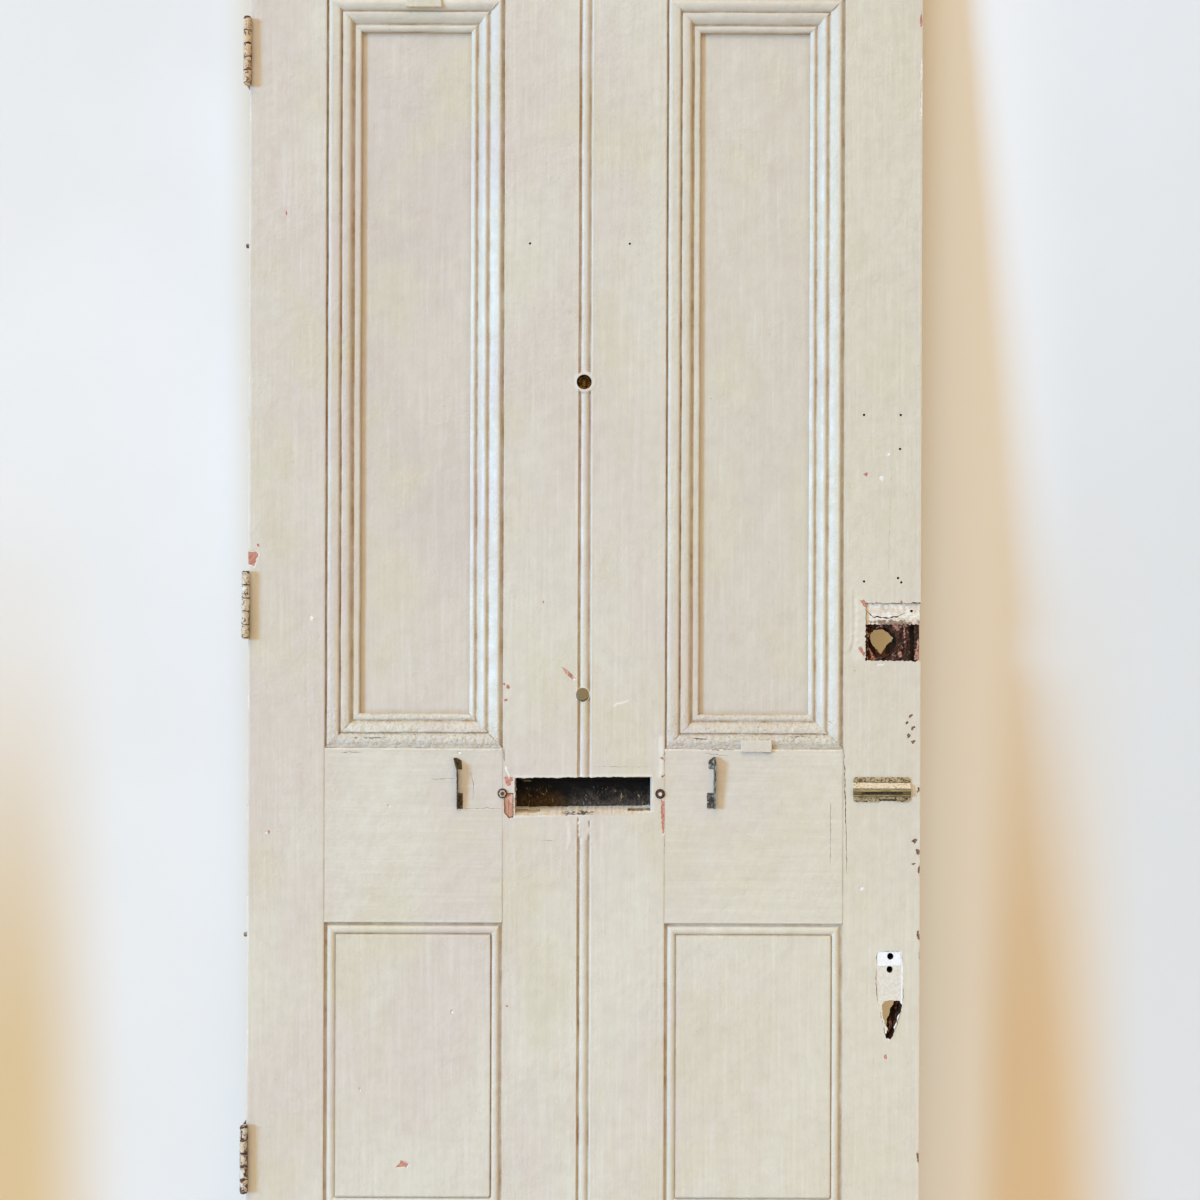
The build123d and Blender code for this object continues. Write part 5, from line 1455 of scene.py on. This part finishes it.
def merged_copy(node, name):
    """A copy of a solid's mesh with its corners joined, as a free object."""
    mesh = nodes[node].data.copy()
    piece = bpy.data.objects.new(name, mesh)
    bpy.context.scene.collection.objects.link(piece)
    sheet = bmesh.new()
    sheet.from_mesh(mesh)
    bmesh.ops.remove_doubles(sheet, verts=sheet.verts, dist=0.00001)
    sheet.to_mesh(mesh)
    sheet.free()
    return piece


def coated(node, left, right, low, high, paint, lip_heights, seed):
    """A copy of a solid with a thin coat of uneven paint joined on to its face: waves, thick lips along the
    lower and upper arris, and soft edges at its joints."""
    piece = merged_copy(node, node + "_timber")
    count = 150 if lip_heights[1] > 0.5 else 120
    x, z = np.meshgrid(np.linspace(left, right, count), np.linspace(low, high, count))
    places = np.stack([x, 0 * x, z], axis=-1)
    low_by, high_by = z - low, high - z
    uneven = 0.6 + 0.3 * waves(places, 22 * MM, seed) + 0.3 * waves(places, 6 * MM, seed + 4)
    lips = lip_heights[1] * uneven * np.exp(-((high_by - 1.4 * MM) / (1.3 * MM)) ** 2)
    lips += lip_heights[0] * np.exp(-((low_by - 1.2 * MM) / (1.2 * MM)) ** 2)
    coat = 0.2 + 0.09 * waves(places, 45 * MM, seed + 1) + 0.05 * waves(places, 9 * MM, seed + 2) + lips
    crumbs = np.clip(waves(places, 5 * MM, seed + 3), 0, 2) * np.exp(-(high_by / (12 * MM)) ** 2)
    coat += 0.22 * lip_heights[1] * crumbs
    edge_by = np.minimum(np.minimum(x - left, right - x), np.minimum(low_by, high_by))
    coat = np.clip(coat, 0.04, None) * np.clip(edge_by / (0.9 * MM) + 0.1, 0, 1)
    rings = np.zeros((count, count + 2, 3))
    rings[:, :count] = np.stack([x, front - coat * MM, z], axis=-1)
    for k, end in ((count, right), (count + 1, left)):
        rings[:, k] = np.column_stack([np.full(count, end), np.full(count, front + 2 * MM), z[:, 0]])
    pale = np.zeros((count, count + 2))
    pale[:, :count] = np.clip(0.7 * lips, 0, 0.6)
    dirty = np.zeros((count, count + 2))
    dirty[:, :count] = 0.35 * np.exp(-(edge_by / (0.9 * MM)) ** 2)
    coat_piece = loft("coat", rings, [paint], {"pale": pale, "grime_and_shade": dirty})
    join = piece.modifiers.new("join", "BOOLEAN")
    join.operation = "UNION"
    join.solver = "MANIFOLD"
    join.object = coat_piece
    settle(piece)
    throw_away(coat_piece)
    return piece


def finished(piece, node):
    """Shades the coat smooth and the rest flat, and puts the copy in the place of its solid."""
    smooth(piece, 40)
    mesh = piece.data
    centres = np.empty(len(mesh.polygons) * 3)
    mesh.polygons.foreach_get("center", centres)
    mesh.polygons.foreach_set("use_smooth", centres.reshape(-1, 3)[:, 1] < front + 1.5 * MM)
    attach(piece, "door")
    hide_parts(node)


strip = bead_strip_line[-1, 0] * MM
rails, fields = {}, {}
for side_name, side in sides.items():
    left, right = sorted((side * opening_inner, side * opening_outer))
    rails[side_name] = coated(f"lock_rail_{side_name}", left, right, lower_high, upper_low, level_paint,
                              (0.3, 0.95), 44)
    fields[side_name] = coated(
        f"lower_panel_{side_name}", left + strip, right - strip, lower_low + strip, lower_high - strip,
        upright_paint, (0.1, 0.1), 54,
    )
left_rail, right_rail = rails["left"], rails["right"]
cut_out(
    left_rail,
    [furrow(spots((432, 779.5), (444, 779), (456, 778.6)), 0.5, 0.45, 190, 0.4),
     furrow(spots((464, 809), (482, 808), (502, 808.6)), 0.45, 0.35, 191, 0.5),
     furrow(spots((340, 752.4), (352, 752), (362, 752.8)), 0.6, 0.5, 192, 0.4),
     furrow(spots((470, 771), (474, 785), (473, 800)), 0.4, 0.3, 193, 0.5)],
    brown_chip,
)
damage(left_rail, chips([(459, 752.6, 4, 2.6, 0.2), (389, 806, 2.4, 3, 0.4)], 0.4, 194), white_undercoat)
cut_out(
    right_rail,
    [furrow(spots((701, 749.8), (718, 750.2), (735, 749.6)), 0.9, 0.8, 195, 0.4),
     furrow(spots((705, 753), (712, 754.4), (727, 755.4)), 0.5, 0.4, 196, 0.5),
     furrow(spots((830.5, 800), (831, 832), (830.6, 864)), 0.4, 0.3, 197, 0.4),
     furrow(spots((762, 752.4), (771, 753.2)), 0.6, 0.5, 198, 0.3)],
    brown_chip,
)
finished(left_rail, "lock_rail_left")
finished(right_rail, "lock_rail_right")

left_panel = fields["left"]
damage(
    left_panel,
    [torn([(394.8, 1167.4), (399, 1164.6), (400.6, 1160.6), (402.6, 1160), (405, 1162), (408.6, 1162.4),
           (409.6, 1165), (407.6, 1166), (407.2, 1168.2), (404.6, 1166.6), (399.6, 1167.8)],
          0.4, 200, 0.25, 0.06)],
    pink_primer,
)
damage(left_panel, chips([(452, 1012, 2.4, 3, 0.3), (360, 1090, 2, 2.6, 0)], 0.3, 201), white_undercoat)
for side_name in sides:
    finished(fields[side_name], f"lower_panel_{side_name}")

# Metal pieces, softened and made uneven

def worn_copy(node, name, body, material, grain, unevenness, bend=None, size=5.0, eased=2,
              inward=False):
    """A fine even skin over a solid, its edges eased, pushed about by smooth waves and then bent. With
    inward the waves only sink into the solid, so that turning pieces stay clear of each other."""
    piece = merged_copy(node, name)
    skin = piece.modifiers.new("skin", "REMESH")
    skin.mode = "VOXEL"
    skin.voxel_size = grain * MM
    ease = piece.modifiers.new("ease", "SMOOTH")
    ease.factor = 0.5
    ease.iterations = eased
    settle(piece)
    mesh = piece.data
    points = np.empty(len(mesh.vertices) * 3)
    mesh.vertices.foreach_get("co", points)
    points = points.reshape(-1, 3)
    push = np.stack([waves(points, size * MM, seed) for seed in (301, 302, 303)], axis=-1)
    fine = np.stack([waves(points, size * MM / 3, seed) for seed in (304, 305, 306)], axis=-1)
    if inward:
        normals = np.empty(points.size)
        mesh.vertices.foreach_get("normal", normals)
        depth = np.clip(0.6 + 0.5 * (push[:, :1] + 0.5 * fine[:, :1]), 0.15, 1.6)
        points = points - depth * normals.reshape(-1, 3) * unevenness * MM
    else:
        points = points + (push + 0.5 * fine) * unevenness * MM
    low, high = (np.array(corner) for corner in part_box(node))
    if bend:
        points = bend(points)
        points[:, 1] = np.clip(points[:, 1], low[1], high[1])
    else:
        points = np.clip(points, low, high)
    mesh.vertices.foreach_set("co", points.ravel())
    mesh.materials.clear()
    mesh.materials.append(material)
    mesh.polygons.foreach_set("material_index", np.zeros(len(mesh.polygons), np.int32))
    mesh.update()
    smooth(piece, 60)
    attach(piece, body)
    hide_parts(node)
    return piece


def round_corners(points):
    """Draws the square corners of the chain slide in to quarter circles."""
    low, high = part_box("chain_slide")
    corner_radius = 4.6 * MM
    middle = np.array([(low.x + high.x) / 2, (low.z + high.z) / 2])
    core = np.array([(high.x - low.x) / 2, (high.z - low.z) / 2]) - corner_radius
    away = points[:, [0, 2]] - middle
    over = np.clip(np.abs(away) - core, 0, None)
    share = over.max(axis=1) / np.maximum(np.hypot(over[:, 0], over[:, 1]), 1e-9)
    share = np.where(over.max(axis=1) > 0, share, 1)[:, None]
    points[:, [0, 2]] = middle + np.sign(away) * (np.minimum(np.abs(away), core) + over * share)
    return points


def bend_left_bracket(points):
    """Leans the top of the strip to the left and drops the top corner away."""
    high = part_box("basket_bracket_left")[1].z
    t = np.clip((points[:, 2] - (high - 18 * MM)) / (18 * MM), 0, 1)
    proud = np.clip((front - points[:, 1]) / (6 * MM), 0, 1)
    strip_x = -0.1735
    points[:, 2] -= 5.0 * MM * t * np.clip((points[:, 0] - strip_x) / (8 * MM), 0, 1)
    points[:, 0] -= 4.4 * MM * t ** 1.3 * proud - 0.8 * MM * (1 - t) * proud
    return points


def bend_right_bracket(points):
    """Leans the strip to the right at its front edge, and cuts the tab's top corner aslant."""
    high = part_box("basket_bracket_right")[1].z
    t = np.clip((points[:, 2] - (high - 14 * MM)) / (14 * MM), 0, 1)
    proud = np.clip((front - points[:, 1]) / (12 * MM), 0, 1)
    strip_x = 0.1765
    points[:, 0] += 1.2 * MM * proud
    points[:, 2] -= 5.5 * MM * t * np.clip((strip_x - points[:, 0]) / (8 * MM), 0, 1)
    return points


worn_copy("basket_bracket_left", "left_bracket_bent", "door", old_iron, 0.5, 0.18,
          bend_left_bracket)
worn_copy("basket_bracket_right", "right_bracket_bent", "door", old_steel, 0.5, 0.16,
          bend_right_bracket)
worn_copy("chain_slide", "chain_slide_worn", "door", worn_brass, 0.58, 0.12, round_corners,
          eased=3)
for side_name in sides:
    patch_name = f"moulding_patch_{side_name}"
    worn_copy(patch_name, patch_name + "_worn", "door", upright_paint, 0.6, 0.2, size=7)
for place_name, amount in (("bottom", 0.42), ("middle", 0.34), ("top", 0.32)):
    finish = hinge_finish[place_name]
    names = f"hinge_frame_leaf_{place_name}", f"hinge_door_leaf_{place_name}"
    worn_copy(names[0], names[0] + "_worn", "jamb_leaves", finish, 0.8, amount,
              size=4, inward=True)
    worn_copy(names[1], names[1] + "_worn", "door", finish, 0.8, amount, size=4,
              inward=True)


# Room: a pale floor and the pale wall that the leaf leans on, which lets the back be seen

def make_stage(name, corners, colour, behind):
    """A large sheet seen from one side. Its colour carries painted light: darker downwards and to the right,
    a paler band and a warm painted shadow to the right of the leaf, a warm painted shadow in the lower left
    corner, and, by the share behind, painted shade where the leaf hides it."""
    material, r, shader = new_material(name)
    p = r.place()
    split = r.add("ShaderNodeSeparateXYZ", {"Vector": p}).outputs
    cloud = r.noise(p, 2.2, 3, 0.5)
    tone = r.mix(r.rise(cloud, 0.3, 0.7, 0, 0.5), colour, screen(231, 229, 227))
    # Painted shade: darker downwards and to the right
    painted_falloff = r.op("SUBTRACT", split["X"], split["Z"])
    tone = r.mix(r.rise(painted_falloff, -2.2, 0.6), tone, screen(219, 216, 212))
    low = r.rise(split["Z"], 1.3, 0.3)
    # Painted light: a paler band just right of the leaf lightens its shadow there
    near = r.op("MULTIPLY", r.rise(split["X"], 0.72, 0.56), r.rise(split["X"], 0.4, 0.5))
    tone = r.mix(near, tone, screen(240, 237, 234))
    # Painted shadow: warm and darker low down to the right of the leaf
    warm_painted_shadow = r.op("MULTIPLY", r.rise(split["X"], 0.84, 0.68), r.rise(split["X"], 0.56, 0.64))
    tone = r.mix(r.op("MULTIPLY", warm_painted_shadow, low), tone, screen(226, 206, 178))
    # Painted shadow: warm in the lower left corner
    corner = r.op("MULTIPLY", r.rise(split["X"], -0.66, -0.84), low)
    tone = r.mix(corner, tone, screen(216, 190, 146))
    # Painted shade: warm and dark where the leaf hides the wall, seen through its holes
    painted_shade_behind_leaf = r.rise(r.op("ABSOLUTE", split["X"]), 0.52, 0.42, 0, behind)
    r.put(shader.inputs["Base Color"], r.mix(painted_shade_behind_leaf, tone, screen(224, 196, 150)))
    shader.inputs["Roughness"].default_value = 0.9
    clear = r.add("ShaderNodeBsdfTransparent")
    choose = r.add("ShaderNodeMixShader")
    r.put(choose.inputs[0], r.add("ShaderNodeNewGeometry").outputs["Backfacing"])
    r.put(choose.inputs[1], shader.outputs[0])
    r.put(choose.inputs[2], clear.outputs[0])
    r.put(material.node_tree.nodes["Material Output"].inputs[0], choose.outputs[0])
    sheet = make_piece(name, corners, [(0, 1, 2, 3)], [material])
    sheet.visible_shadow = False
    return sheet


# The wall leans towards the room by this much in each metre of height, and just clears the leaf's top
lean = 0.0905
wall_gap = back + 0.008
floor_y = wall_gap + leaf_top * lean
make_stage("floor", [(-6, -6, 0), (6, -6, 0), (6, 6, 0), (-6, 6, 0)], screen(220, 224, 232), 0)
make_stage(
    "wall",
    [(-5, floor_y, 0), (5, floor_y, 0), (5, floor_y - 4 * lean, 4), (-5, floor_y - 4 * lean, 4)],
    screen(239, 239, 238),
    1,
)


# Light: cool daylight from the left, warm light from the room

def add_sun(name, towards, strength, colour, angle):
    lamp = bpy.data.lights.new(name, "SUN")
    lamp.energy = strength
    lamp.color = colour
    lamp.angle = math.radians(angle)
    sun = bpy.data.objects.new(name, lamp)
    sun.rotation_euler = Vector(towards).to_track_quat("-Z", "Y").to_euler()
    bpy.context.scene.collection.objects.link(sun)


add_sun("window", (0.81, 0.58, -0.1), 3.14, (0.241, 0.569, 1.0), 14)
add_sun("room", (0.12, 0.62, -0.77), 1.67, (1.0, 0.818, 0.576), 50)
add_sun("behind", (-0.55, -0.78, -0.3), 2.2, (0.62, 0.8, 1.0), 50)

world = bpy.data.worlds.new("room_light")
world.use_nodes = True
bpy.context.scene.world = world
r = Recipe(world.node_tree)
light = world.node_tree.nodes["Background"]
light.inputs["Color"].default_value = (0.417, 0.338, 0.225, 1)
light.inputs["Strength"].default_value = 1.0
seen = r.add("ShaderNodeBackground", {"Color": screen(232, 231, 229), "Strength": 1.0})
rays = r.add("ShaderNodeLightPath").outputs
choose = r.add("ShaderNodeMixShader")
sees = r.op("MAXIMUM", rays["Is Camera Ray"], rays["Is Glossy Ray"])
r.put(choose.inputs[0], r.op("MAXIMUM", sees, rays["Is Transmission Ray"]))
r.put(choose.inputs[1], light.outputs[0])
r.put(choose.inputs[2], seen.outputs[0])
r.put(world.node_tree.nodes["World Output"].inputs[0], choose.outputs[0])

# The camera stands square on to the leaf, a little low
camera_distance = 2.366
lens = bpy.data.cameras.new("camera")
lens.lens = 51.8
lens.sensor_width = 36
camera = bpy.data.objects.new("camera", lens)
camera.location = (photo_x * MM, -camera_distance, photo_z * MM)
camera.rotation_euler = (math.radians(90), math.radians(-0.2), 0)
bpy.context.scene.collection.objects.link(camera)
bpy.context.scene.camera = camera
bpy.context.scene.view_settings.view_transform = "Standard"
